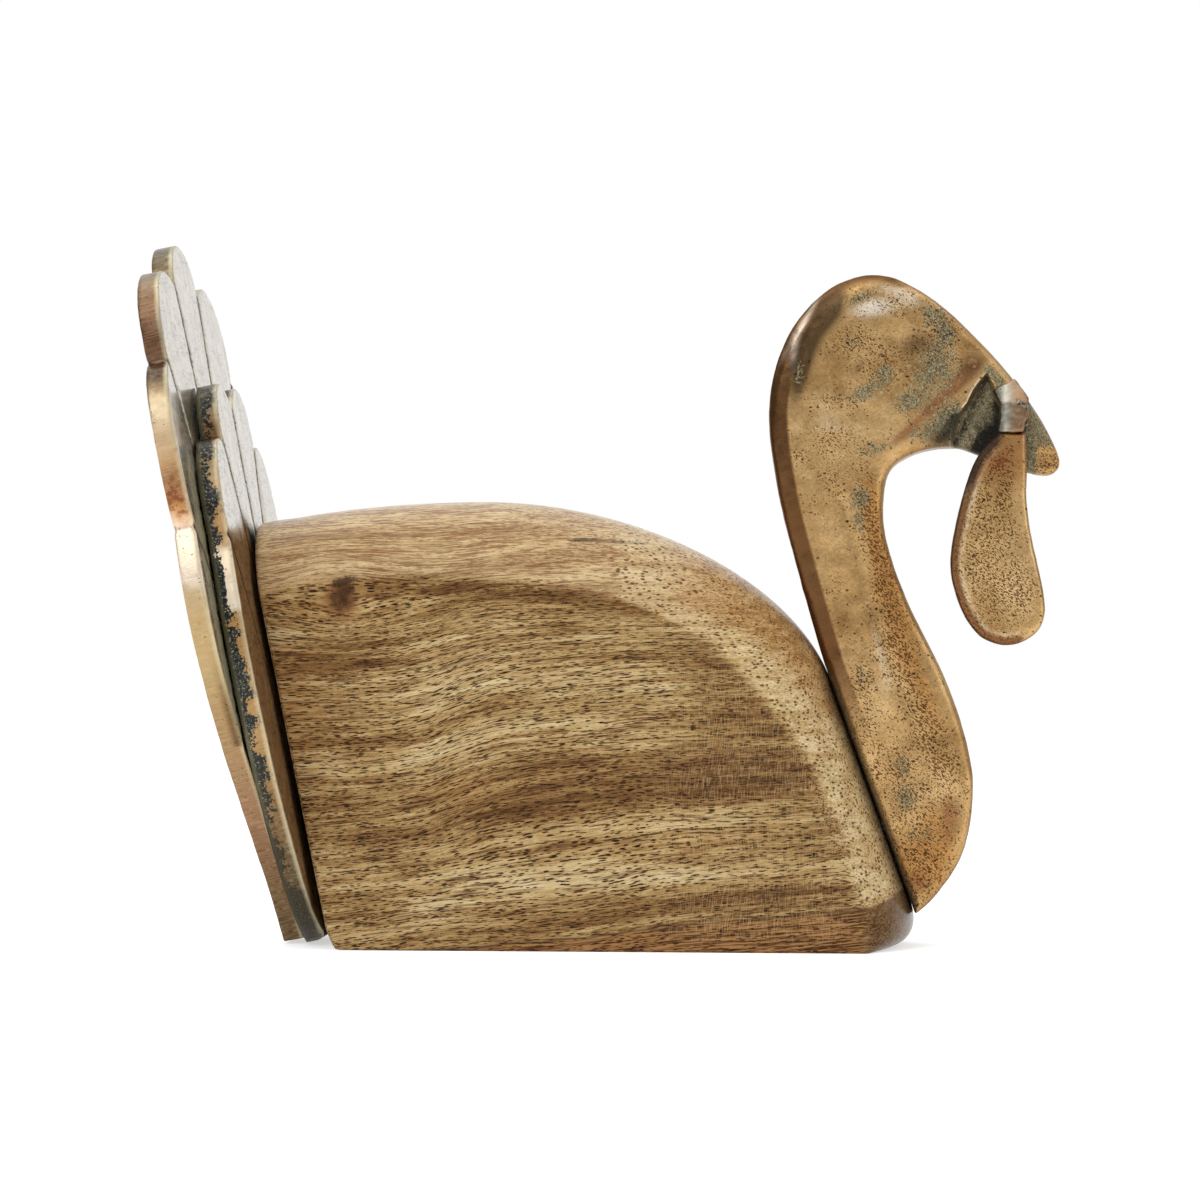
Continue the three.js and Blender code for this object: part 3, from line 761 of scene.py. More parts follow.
def braze_material():
    """Bare ground metal with a few pits and a pinkish tan side, darker at its left edge, with a painted
    highlight band left of its middle.
    """
    n = Nodes(bpy.data.materials.new("bare_metal"))
    at = n.place()
    grit = n.noise(at, 0.8, rough=0.6)
    cloud = n.noise(at, 3)
    x, _, z = n.split(at)
    # Colour across X: darker at the left edge, a painted highlight band left of the middle, then pinkish
    # tan.
    colour = n.ramp((x + about(cloud, 3.0) - 124.0) * (1 / 14), [
        (0.10, 70, 67, 58), (0.20, 108, 104, 92), (0.32, 172, 167, 154), (0.41, 150, 141, 126),
        (0.50, 142, 120, 95), (0.72, 138, 108, 82), (0.92, 92, 75, 56)])
    seam = n.math("ABSOLUTE", z + x * 0.45 - 236.6)
    seam = (1 - (seam + grit * 1.6).fade(0.9, 2.3)) * x.fade(131.0, 132.5)
    ash = n.mix(grit.fade(0.42, 0.56), (40, 38, 34), (150, 148, 136))
    hollow = n.specks(at, (1.5, 1.5, 1.5), 0.30, cloud.fade(0.46, 0.62, 0.05, 0.5))
    colour = n.mix(hollow * 0.75, n.mix(seam * 0.85, colour, ash), (84, 74, 62))
    return n.shade({
        "Base Color": colour, "Metallic": 0.95, "Roughness": 0.26 + grit * 0.2,
        "Normal": n.bump(grit * 0.5 - n.most(hollow, seam), 0.0002, 0.6)})


def steel_material():
    n = Nodes(bpy.data.materials.new("steel"))
    at = n.place()
    grit = n.noise(at, 1.1, 3, 0.6)
    lines = n.noise(at, (0.25, 3, 3), 1)
    colour = n.ramp(grit, [(0.35, 104, 98, 88), (0.55, 158, 152, 142), (0.7, 184, 178, 168)])
    return n.shade({
        "Base Color": colour, "Metallic": 1.0, "Roughness": 0.28 + lines * 0.2,
        "Normal": n.bump(grit, 0.0001, 0.4)})


# Wooden body. Shares of the foot's length and of the crest's height.

MIDDLE = dict(rear=0.95, crest=(-0.239, 1), breastTop=(0.409, 0.597), breastLow=(0.557, 0.103), toe=0.5,
              rearHandles=[(-0.53, 0.985), (-0.37, 1)], frontHandles=[(0.045, 1), (0.34, 0.825)],
              toeHandles=[(0.577, 0.035), (0.55, 0)])
SIDE = dict(rear=0.797, crest=(-0.256, 0.829), breastTop=(0.327, 0.487), breastLow=(0.474, 0.082), toe=0.48,
            rearHandles=[(-0.52, 0.811), (-0.398, 0.829)], frontHandles=[(-0.028, 0.829), (0.261, 0.707)],
            toeHandles=[(0.48, 0.041), (0.48, 0.014)])

# Tone of the near side of the wood, as spots in mm: X, Z, half length, half height, tilt, strength.
WOOD_DARK = [
    (-90, 93.2, 19.8, 6.6, 6, 0.9), (-82.9, 81, 19.8, 3.3, 8, 0.4), (-43.9, 116.5, 36.3, 2.3, -3, 0.8),
    (11, 110.4, 19.8, 2.3, -8, 0.8), (-24.5, 102.3, 28.1, 1.3, 8, 0.7), (-81.3, 67.4, 24.8, 2.6, 3, 0.8),
    (-41.3, 77.2, 13.2, 1.7, 22, 0.7), (-14.8, 60.2, 29.7, 2.3, 7, 0.6), (-30.9, 94, 23.1, 1.3, 10, 0.4),
    (46.4, 76.4, 19.8, 18.2, 0, 0.5), (30.3, 54.9, 46.2, 6.6, 3, 0.9), (-14.8, 47.3, 28.1, 4.3, 5, 0.5),
    (-76.4, 36.4, 23.1, 2, 4, 0.7), (-76.4, 48, 29.7, 5.3, 4, 0.5), (-24.5, 45, 19.8, 4.6, 5, 0.55),
    (46.4, 18.4, 38, 3.3, 3, 1), (7.8, 13, 19.8, 3.3, 8, 0.7), (-66.6, 26.7, 4, 2, 0, 0.5),
    (43.2, 91.8, 14.9, 2, 0, 0.6), (11, 95.6, 26.4, 1.3, 2, 0.4), (-43.9, 5.2, 29.7, 2, 5, 0.5),
    (-89.4, 14.7, 13.2, 2, 5, 0.5),
]
WOOD_LIGHT = [
    (-37.4, 86.5, 36.3, 2.6, 6, 0.8), (-53.6, 65.5, 12.5, 3.3, 8, 0.9), (-60.1, 57.8, 10.6, 2.3, 6, 0.5),
    (17.5, 85, 9.9, 2, 0, 0.7), (6.2, 65.4, 11.2, 1.7, 3, 0.6), (38.4, 68.4, 7.3, 2, 6, 0.6),
    (30.3, 42, 41.2, 2.3, 2, 0.8), (43.2, 25.7, 36.3, 4, 1, 0.7), (-57.5, 14.8, 11.2, 2.6, 8, 0.7),
    (-1.8, 21.6, 23.1, 3.3, 4, 0.35), (-99.2, 59.9, 9.9, 4, 3, 0.4), (-40.6, 26.2, 23.1, 3.3, 6, 0.4),
    (-89.4, 124.6, 16.5, 3.3, 12, 0.5), (4.6, 74.7, 19.8, 4.6, 3, 0.3),
]
WOOD_ORANGE = [
    (-102.4, 74.5, 9.9, 19.8, 10, 0.8), (-99.2, 113.3, 19.8, 13.2, 0, 0.4), (-47.1, 52, 9.9, 3.3, 5, 0.4),
    (30.3, 34.6, 19.8, 2.6, 8, 0.4), (-104.1, 42.1, 6.6, 19.8, 12, 0.6),
]


def grain_of(p, bend):
    """Wood coordinates of points in mm: x along the grain, y and z across it, bent round the knot."""
    x, y, z = p.T
    near = step01(-y, -16, 10)
    rz = z - KNOT[1]
    r2 = ((x - KNOT[0]) / 1.7) ** 2 + rz**2
    gz = KNOT[1] + rz * (1 - bend * np.exp(-r2 / (2 * 9.5**2)) * near)
    lift = np.interp(x, [-110, -85, -68, -57, -46, -36, -20, 10, 40, 100],
                     [0, 0.8, 2.2, 4.2, 8.2, 11.2, 13.6, 16.5, 17.5, 20.5])
    low = np.interp(x, [-110, -50, -8, 20, 62, 86, 100], [-6, 1, 4.6, 8.8, 12.3, 14.7, 19])
    share = step01(z, 8, 60)
    gz = gz - lift * share * (1 - 0.6 * step01(z, 92, 118)) - low * (1 - share)
    rolling = 1.5 * waves(np.column_stack([x / 2.4, y / 1.2, z]), 22, 4, 2)
    rolling = rolling + 0.5 * waves(np.column_stack([x / 2, y, z]), 7, 14, 1)
    gz = gz + rolling * (1 - 0.5 * near)
    gx = x + 3.0 * waves(p, 30, 6, 1)
    gy = y + 1.5 * waves(np.column_stack([x / 3, y, z]), 18, 9, 1)
    return np.column_stack([gx, gy, gz])


def body_masks(p):
    """The wood's attributes. The crease is the line between the flat side and the front."""
    x, y, z = p.T
    q = p[:, [0, 2]]
    near = step01(-y, -8, 12)
    r2 = ((x - KNOT[0]) / 6.6) ** 2 + ((z - KNOT[1] + 1.0) / 7.6) ** 2
    knot = 0.85 * np.exp(-r2 * 1.3) * near * step01(120.8 + 0.2 * (x - KNOT[0]) - z, -0.6, 1.6)
    foot_line = np.interp(x, [-120, -47.5, -8.3, 19.7, 33.6, 61.5, 85.7, 94.7, 99],
                          [-5, 1.0, 4.2, 8.6, 10.9, 12.3, 14.7, 19.0, 21])
    crease_x = np.interp(z, [0, 12, 40, 66, 90, 103, 114], [82, 81, 74, 61, 42, 28, 2])
    ahead = x - crease_x
    front = step01(ahead, -1.0, 4.5) * step01(z, 6, 22)
    shadow = step01(ahead, 12, 25) * step01(z, 8, 30) * step01(z, 132, 118)
    heart = 1.15 * step01(foot_line - z, -0.7, 0.7) * (1 - 0.55 * step01(ahead, -2, 6))
    rays = step01(x, 8, 34) * step01(x, 82, 70) * step01(z, 100, 84) * step01(z, 1, 8)
    rise = np.interp(x, [-114, -67, -25, -2, 18, 30], [115.9, 121.4, 119.7, 114.9, 109.4, 100.5])
    crown = step01(z - rise, -0.5, 0.7) * step01(x, 45, 15)
    dark = paint(q, WOOD_DARK) * near * (1 - front) * (1 - crown)
    seat = neck_local(q)
    # Painted contact shadow on the wood where the neck sits.
    contact = step01(seat[:, 0], -5.5, -0.8) * step01(seat[:, 1], -8, 2) * step01(seat[:, 1], 92, 76)
    # The shadow mask is painted shade toward the breast's outline: it tints orange, darkens a little and
    # dims the front's pale tone.
    return {
        "grain": grain_of(p, 0.5), "flow": grain_of(p, 0.9), "knot": knot, "heart": heart,
        "rays": rays * (1 - front), "dark": np.clip(dark + 0.10 * shadow, 0, 1),
        "light": paint(q, WOOD_LIGHT) * near * (1 - 0.7 * crown),
        "orange": np.clip(paint(q, WOOD_ORANGE) * near + 0.85 * shadow, 0, 1),
        "front": front * (1 - 0.5 * shadow), "crown": crown, "contact": contact}


def body_profile(shares, counts):
    """Closed profile: rear face, crown, breast, toe and underside, each with its count of points."""
    def at(pair):
        return (pair[0] * FOOT, pair[1] * CREST)

    top = shares["rear"] * CREST
    rear_top = (-FOOT / 2 - top * math.tan(REAR_LEAN), top)
    crest, front, low = at(shares["crest"]), at(shares["breastTop"]), at(shares["breastLow"])
    toe, heel = (shares["toe"] * FOOT, 0), (-FOOT / 2, 0)
    h = {k: [at(p) for p in shares[k]] for k in ("rearHandles", "frontHandles", "toeHandles")}
    parts = [
        line(heel, rear_top, counts[0]),
        bezier(rear_top, *h["rearHandles"], crest, counts[1]),
        bezier(crest, *h["frontHandles"], front, counts[2]),
        line(front, low, counts[3]),
        bezier(low, *h["toeHandles"], toe, counts[4]),
        line(toe, heel, counts[5]),
    ]
    profile = np.vstack([p[:-1] for p in parts])
    # The rear face swells a little above the heel.
    back = profile[:counts[0] + 6]
    back[:, 0] -= step01(back[:, 1], 0, 7) * (1.5 + 1.5 * back[:, 1] / CREST)
    profile = softened(profile, 1.3, 1.6)
    profile[:, 1] = np.maximum(profile[:, 1], 0)
    return profile


def build_body(material):
    counts = (80, 44, 100, 56, 18, 110)
    middle, side = body_profile(MIDDLE, counts), body_profile(SIDE, counts)
    count, half, edge = len(side), 26, 0.7
    crease = math.radians(18)
    rings = []
    for s in range(-half, half + 1):
        angle = crease + (1 - abs(s) / half) * (math.pi / 2 - crease)
        rise = (math.sin(angle) - math.sin(crease)) / (1 - math.sin(crease))
        y = math.copysign(THICK / 2 * math.cos(angle) / math.cos(crease), s) if s else 0.0
        ring = side + (middle - side) * rise
        rings.append(np.column_stack([ring[:, 0], np.full(count, y), ring[:, 1]]))

    # The edges of the rear face and of the underside are eased.
    square = np.zeros(count)
    square[:counts[0]] = 1
    square[sum(counts[:5]):] = 1
    steps = np.minimum(np.arange(count), count - np.arange(count))
    blur = np.exp(-0.5 * (steps / 2.0) ** 2)
    square = np.real(np.fft.ifft(np.fft.fft(square) * np.fft.fft(blur / blur.sum())))
    lip = side + (inset(side[::-1], edge)[::-1] - side) * square[:, None]
    rings[0][:, 1] += edge * square
    rings[-1][:, 1] -= edge * square
    ends = [np.column_stack([lip[:, 0], np.full(count, y), lip[:, 1]]) for y in (-THICK / 2, THICK / 2)]
    rings = [ends[0], *rings, ends[1]]
    faces = []
    for r in range(len(rings) - 1):
        for i in range(count):
            a, b = r * count + i, r * count + (i + 1) % count
            faces.append((a, b, b + count, a + count))

    # The flat sides are filled between the end rings.
    points, tris, order = fill(lip[::-1], [], 1.7)
    for sign, ring in ((-1, 0), (1, len(rings) - 1)):
        start = sum(len(r) for r in rings)
        number = np.full(len(points), -1)
        for i, where in enumerate(order):
            number[where] = ring * count + (count - 1 - i)
        free = np.where(number < 0)[0]
        number[free] = start + np.arange(len(free))
        y = np.full(len(free), sign * THICK / 2)
        rings.append(np.column_stack([points[free, 0], y, points[free, 1]]))
        for f in tris:
            f = tuple(int(number[i]) for i in f)
            faces.append(f if sign < 0 else f[::-1])
    verts = np.vstack(rings)
    obj = make_mesh("body_wood", verts, faces, body_masks(verts), material)
    weld(obj.data, 1e-5)
    return obj


def weld(mesh, distance):
    """Joins points that coincide, turns every face outwards and keeps the rim of a flat side crisp."""
    bm = bmesh.new()
    bm.from_mesh(mesh)
    bmesh.ops.remove_doubles(bm, verts=bm.verts, dist=distance)
    bmesh.ops.recalc_face_normals(bm, faces=bm.faces)
    for edge in bm.edges:
        flat = [abs(face.normal.y) > 0.9995 for face in edge.link_faces]
        if len(flat) == 2 and flat[0] != flat[1]:
            edge.smooth = False
    bm.to_mesh(mesh)
    bm.free()
    mesh.update()


# Neck. Shares of its reach and height.

NECK_BACK = [(0.022, 0.585), (0.053, 0.724), (0.122, 0.854), (0.262, 0.949), (0.448, 0.998),
             (0.63, 0.991), (0.774, 0.922), (0.893, 0.808), (0.966, 0.706), (0.989, 0.642)]
BEAK_TIP = [(0.985, 0.605), (0.95, 0.593), (0.905, 0.599)]
NECK_FRONT = [(0.819, 0.627), (0.733, 0.664), (0.655, 0.69), (0.543, 0.7), (0.446, 0.691), (0.391, 0.656),
              (0.346, 0.59), (0.341, 0.482), (0.371, 0.347), (0.368, 0.242), (0.331, 0.157), (0.229, 0.07),
              (0.096, 0.02), (0, 0)]
# Edge of the beak's recess, X and Z in mm: down the step, round below the beak, up past the lug.
RECESS = [
    (122.9, 186.8), (120.7, 184.4), (118.8, 181.7), (116.7, 177.3), (113.3, 172.9), (111.8, 168),
    (111.4, 158), (114, 150), (150, 150), (162, 165), (150, 182), (139, 189.5), (136.2, 186.5),
    (134.6, 180), (133, 176.5), (130, 175.2), (127.6, 175.6), (126.1, 178), (124.9, 183),
]
FAR_RECESS = RECESS[:12]

# Tone of the castings by place, painted highlights and painted shade among it, as spots like those of the
# wood. The flutes are lines of X and Z.
FLUTES = [
    [(76.4, 145.5), (80, 132.8), (82.9, 120.8), (88.1, 102.6), (90.8, 96.7), (94.4, 87.6), (98.1, 77.6),
     (101.7, 66.6), (102.6, 61.4)],
    [(84.2, 100.3), (84.8, 96.7), (86.1, 83.4), (87.7, 75), (88.4, 67.8)],
]
# Dark spots: painted shade, with some darker metal.
DARK_AND_SHADE = [
    (66, 198.9, 3.6, 11.9, -28, 1), (62.4, 186.5, 2.6, 8.3, -12, 0.9), (72.2, 206.7, 5.3, 3.6, 35, 0.7),
    (100.7, 196.7, 5.6, 4.6, 0, 0.75), (81.4, 189.1, 1.7, 2.6, -35, 0.6), (87.1, 202.7, 2.6, 2, 0, 0.35),
    (80.3, 197.8, 5.3, 2.6, 0, 0.25), (74.5, 212.1, 5.3, 2.3, 35, 0.6), (117.5, 189.8, 4.6, 4, 0, 0.65),
]
# Pale spots: painted highlights, with some rubbed metal.
PALE_AND_HIGHLIGHT = [
    (85.8, 208.2, 7.9, 3.3, 5, 0.9), (98.1, 210.7, 6.6, 3.3, -30, 0.45), (92.3, 214.6, 7.3, 2, -12, 0.5),
    (69.3, 175.4, 9.9, 11.2, 0, 0.35), (76.7, 169.2, 9.9, 3.3, 0, 0.25), (90, 88.6, 2, 14.5, 16, 0.4),
    (85.8, 106.8, 2, 16.5, 14, 0.35), (84.2, 63.9, 4.6, 7.3, 20, 0.3),
]
GREEN = [
    (83.2, 180.9, 5, 2, 25, 1), (89.7, 186.7, 2.6, 3, -30, 0.8), (106.2, 188.3, 5.6, 6.6, -25, 1),
    (98.1, 177.9, 5, 3, 20, 1), (82.2, 211.5, 4.3, 1.3, 20, 0.9), (106.2, 205.1, 4.6, 3, -40, 0.9),
    (109.4, 198.6, 2.6, 3, 0, 0.8), (106.8, 169.1, 7.3, 3, 18, 0.9), (112.7, 171.4, 3, 3, 0, 0.8),
    (81.9, 146.5, 2.6, 3.3, 0, 0.9), (80.9, 139, 2, 3.3, 0, 0.7), (85.5, 162.7, 5.9, 2.3, 10, 0.55),
    (95.5, 59.4, 2.3, 3, 20, 0.75), (96.8, 48.7, 3.3, 3.3, 0, 0.8), (102, 37, 4.6, 2.6, 0, 0.45),
    (126.3, 184.6, 3.4, 2, -48, 1), (123.6, 187.6, 2, 1.4, -48, 0.8), (110.5, 174.6, 3.6, 2.2, 40, 0.9),
    (81.6, 89.2, 1.7, 2.6, 0, 0.6), (79, 197.8, 3.3, 2.3, 0, 0.35), (62.1, 187.5, 1.3, 4, -10, 0.5),
]
# Painted glints and highlight streaks on the head.
GLEAM_HIGHLIGHTS = [
    (62.4, 202, 7.6, 0.55, 60, 0.55), (85.6, 208.4, 4, 1.7, 12, 0.8), (98, 211.3, 4.6, 1, -28, 0.25),
    (60.4, 194, 0.8, 3.6, -8, 0.25),
]
WARM = [
    (102.3, 28.3, 7.9, 9.2, 0, 1), (107.5, 38.7, 5.3, 7.9, 0, 0.7), (85.5, 144.2, 3.3, 11.2, 10, 0.9),
    (89.4, 126.3, 3.3, 14.5, 12, 0.9), (96.2, 100.3, 4, 16.5, 18, 0.9), (104.2, 80.8, 4, 14.5, 22, 0.5),
    (94.5, 58.1, 7.3, 13.2, 12, 0.35), (123.6, 200.8, 3.3, 4.6, -40, 0.3), (88.1, 171.8, 4.6, 4, 0, 0.3),
]
RUST = [
    (111, 42.6, 3.6, 7.9, 0, 0.8), (100.4, 21.7, 4, 4, 0, 0.7), (107.5, 178.2, 15.8, 2, 42, 0.9),
    (96.2, 166.6, 6.6, 1.7, 35, 0.5), (115.9, 187.3, 6.6, 2.3, 42, 0.7), (66, 139.3, 2.6, 14.5, 14, 0.35),
    (67.3, 116.6, 2.6, 13.2, 14, 0.2),
]
PITTED = [
    (72.2, 165.3, 5, 4.6, 0, 0.75), (62.1, 160.2, 1.7, 2.3, 0, 0.9), (72.8, 152.6, 4, 4.3, 0, 0.6),
    (80.3, 198.5, 5.3, 3, 0, 0.95), (88.1, 189.3, 5.3, 4, 0, 0.6), (88.1, 194.5, 8.6, 3.3, 0, 0.55),
    (81.9, 86.6, 4, 5.9, 0, 0.8), (83.2, 73, 3.3, 7.3, 14, 0.75), (95.5, 48.4, 4.6, 13.2, 10, 0.7),
    (102.3, 28.3, 8.6, 10.6, 0, 0.8), (100.4, 78.9, 3, 16.5, 24, 1), (106.8, 66.2, 3, 11.2, 24, 1),
    (85.5, 139.3, 3, 19.8, 12, 0.85), (91.3, 113.3, 3, 19.8, 14, 0.8), (93.2, 100.3, 4.6, 13.2, 14, 0.6),
    (75.1, 177.7, 4, 1.7, 0, 0.5), (94.5, 209.4, 9.9, 3.3, 0, 0.55), (107.5, 200.9, 5.3, 7.9, -30, 0.7),
    (88.1, 57.4, 7.3, 6.6, 0, 0.4), (105.9, 54.9, 5.3, 13.2, 10, 0.6),
]
# Painted shadow spots, spreading the recess's dark below its lower left corner.
CRUST_AND_SHADOW_SPOTS = [
    (110.6, 167.6, 3.6, 4.4, 0, 0.85), (106.2, 165.4, 3.2, 2, 15, 0.55), (112.6, 173, 2.6, 1.6, 55, 0.7),
]
# Dents in the head: depth, X, Z, half length, half height, tilt.
DENTS = [(0.9, 100, 196, 8, 6, -20), (0.5, 70, 190, 6, 14, -20), (0.6, 118, 189, 5, 5, 0)]


def neck_outline():
    back, tip, front = ([(a * NECK_REACH, b * NECK_HEIGHT) for a, b in rows]
                        for rows in (NECK_BACK, BEAK_TIP, NECK_FRONT))
    seat = (0, SEAT_SHARE * NECK_HEIGHT)
    loop = np.vstack([
        line((0, 0), seat, 40)[:-1], through([seat] + back, 12)[:-1],
        through(back[-2:] + tip + front[:1], 12)[12:-1], through(tip[-1:] + front, 12)[12:-1]])
    loop = softened(even(loop, 0.9, closed=True), 1.0, 0.9)
    return inset(loop if area_of(loop) > 0 else loop[::-1], 0.15)


def recess_depth(q, corners=RECESS):
    """How far inside the beak's recess each point is, in mm, negative outside."""
    loop = even(np.array(corners), 0.5, closed=True)
    gap, _ = distance_to(q, loop)
    return np.where(inside(q, loop), gap, -gap)


def neck_sides(outline):
    """A function of points that gives how far the edge nearby faces the wood, and the shares of
    the neck's top and back."""
    tangent = np.roll(outline, -1, 0) - np.roll(outline, 1, 0)
    size = np.linalg.norm(tangent, axis=1) + 1e-9
    left, up = -tangent[:, 1] / size, -tangent[:, 0] / size

    def sides(p, k):
        top = step01(p[:, 1], 165, 185) * step01(up[k] + 0.6 * left[k], -0.1, 0.5)
        back = step01(left[k], 0.35, 0.75) * step01(p[:, 1], 52, 92) * (1 - top)
        return left[k], top, back

    return sides


def neck_heights(outline):
    sides = neck_sides(outline)

    def bed_of(p, deep, height, seed):
        """Height of the recess's floor."""
        step = 0.5 * np.exp(-np.clip(deep, 0, None) / 1.6)
        return BEAK_HALF + height + step + 0.25 * waves(p, 5, seed, 2)

    def heights(p, d, k):
        q = neck_world(p)
        deep, away = recess_depth(q), recess_depth(q, FAR_RECESS)
        beak, beyond = step01(deep, -0.35, 1.0), step01(away, -0.35, 1.0)
        _, top, back = sides(p, k)
        round_off = rounding(d, NECK_ROUND - 1.3 * beak)
        slope = 1.5 * np.clip(1 - d / 6.3, 0, 1) * back
        crown = (1.9 * np.clip(1 - d / 15, 0, 1) ** 2 + 0.9 * np.clip(1 - d / 3.2, 0, 1)) * top
        rest = 0.9 * np.clip(1 - d / 10.0, 0, 1) ** 2 * (1 - back) * (1 - top)
        pad = NECK_HALF - slope - crown - rest
        for flute, depth, width in zip(FLUTES, (0.5, 0.25), (1.7, 1.4)):
            gap, _ = distance_to(q, flute, False)
            pad = pad - depth * np.exp(-((gap / width) ** 2))
        for depth, *dent in DENTS:
            pad = pad - depth * blob(q, *dent)
        pad = pad + 0.5 * waves(p, 38, 11, 2) + 0.16 * waves(p, 10, 12, 2) - 0.35
        ring = np.hypot(q[:, 0] - EYE[0], q[:, 1] - EYE[1])
        pad = pad - 0.6 * np.exp(-((ring / 0.8) ** 2)) + 0.2 * np.exp(-(((ring - 1.8) / 0.6) ** 2))
        pad = np.minimum(pad, NECK_HALF - 0.05)
        near = pad * (1 - beak) + bed_of(p, deep, 0.15, 17) * beak
        low = np.minimum(near - 0.3, (NECK_HALF - 3.4) * (1 - beak) + (BEAK_HALF - 2.2) * beak)
        front = low + (near - low) * round_off
        far = NECK_HALF - rest - crown - 0.7 * slope + 0.3 * waves(p, 30, 15, 2) - 0.3
        far = np.minimum(far, NECK_HALF - 0.05) * (1 - beyond) + bed_of(p, away, 0.05, 27) * beyond
        low = np.minimum(far - 0.3, low)
        return front, low + (far - low) * round_off

    return heights


def neck_masks(outline):
    sides = neck_sides(outline)

    def masks(p, d, k, t):
        q = neck_world(p)
        x, z = q.T
        near = step01(t, -7, 7)
        deep = recess_depth(q) * near + recess_depth(q, FAR_RECESS) * (1 - near)
        beak = step01(deep, -0.1, 0.7)
        left, top, back = sides(p, k)
        lip = 2.6 + 4.2 * step01(left, 0.0, 0.8)
        # Painted shade in a band along the back's bevel and along the top edge.
        band = step01(d, 6.6, 5.9) * back + 0.95 * step01(d, lip + 1.6, lip - 1.6) * top
        # edge marks the outer edges, which take painted shade.
        edge = step01(d, 1.3, 0.5) * (1 - back)
        tip = step01(x, 137.5, 140.5) * step01(z, 166.5, 161.5)
        walled = beak * (1 - tip)
        # Painted shadow in the recess: dark beside the snood and lug, a dark line inside the step, and dark
        # along the recess's edge by the step.
        slant = (x - 122.9) * 0.897 - (z - 178.4) * 0.441
        black = step01(slant, 1.3, 2.8) * step01(x, 137.2, 134.2)
        streak = 0.85 * np.exp(-(((slant + 3.0) / 1.2) ** 2)) * step01(x, 128, 124)
        darkened = np.maximum(black, streak)
        darkened = np.maximum(darkened, 0.9 * step01(deep, 1.0, 0.2) * step01(x, 124, 121))
        soot = np.maximum(darkened * walled, paint(q, CRUST_AND_SHADOW_SPOTS) * (1 - beak)) * (0.5 + 0.5 * near)
        # seat is a painted contact shadow along the back edge, where the casting meets the wood.
        seat = step01(d, 2.0, 0.4) * step01(left, 0.8, 0.93) * step01(p[:, 1], 90, 80)
        # rim is a painted highlight line along the step at the recess's left edge.
        rim = np.exp(-(((deep + 0.7) / 0.55) ** 2)) * step01(x, 124.5, 122.5)
        # These spots are painted glints on the head, kept off the beak.
        gleam = paint(q, GLEAM_HIGHLIGHTS) * (1 - beak)
        # Painted shade at the dark spots and along the outer edges, not on the beak.
        smoke = np.maximum(paint(q, DARK_AND_SHADE), 0.55 * edge) * (1 - beak) * (1 - gleam)
        scratched = np.exp(-((slant / 1.7) ** 2)) * step01(x, 128, 125)
        return {
            "gleam": gleam, "smoke": smoke, "pale": np.maximum(paint(q, PALE_AND_HIGHLIGHT), 0.75 * rim),
            "hollow": walled * np.maximum(scratched, 0.7 * step01(x, 135.5, 138.5)),
            "green": np.maximum(paint(q, GREEN), 0.95 * walled),
            "warm": paint(q, WARM) * (1 - beak) + 0.5 * tip, "rust": paint(q, RUST) * (1 - beak),
            "pitted": np.maximum(paint(q, PITTED), 0.6 * beak * tip),
            "band": np.clip(band, 0, 1) * (1 - beak),
            "soot": np.clip(np.maximum(soot, 0.7 * seat), 0, 1)}

    return masks


def build_neck(material):
    outline = neck_outline()
    rings = round_rings(NECK_ROUND, 28, 46, 62, 76, 90) + [4.6, 5.7, 6.2, 6.7]
    recess = neck_local(np.array(RECESS + RECESS[:1]))
    eye = neck_local(np.array([EYE]))[0]
    ring = [(eye[0] + r * math.cos(a), eye[1] + r * math.sin(a))
            for r in (0, 0.5, 1.0, 1.5, 1.9, 2.4) for a in np.linspace(0, 2 * math.pi, 11)[:-1]]
    steps = (-1.5, -0.9, -0.5, -0.2, 0.1, 0.4, 0.7, 1.0, 1.6)
    extra = np.vstack([rows_along(recess, steps, 0.8), ring])
    return plate("neck_cast", outline, rings, 1.4, neck_heights(outline), neck_place,
                 neck_masks(outline), material, rows=6, rough=(0.12, 0.06), extra=extra)


# Snood and lug. The outline is in shares of the snood's width and length.

SNOOD = [
    (-0.15, 0), (-0.385, -0.11), (-0.53, -0.27), (-0.65, -0.49), (-0.68, -0.63), (-0.63, -0.75),
    (-0.53, -0.86), (-0.38, -0.95), (-0.215, -0.99), (-0.05, -1), (0.12, -0.98), (0.27, -0.93),
    (0.34, -0.855), (0.33, -0.76), (0.27, -0.63), (0.19, -0.47), (0.145, -0.31), (0.15, -0.19), (0.14, 0),
]


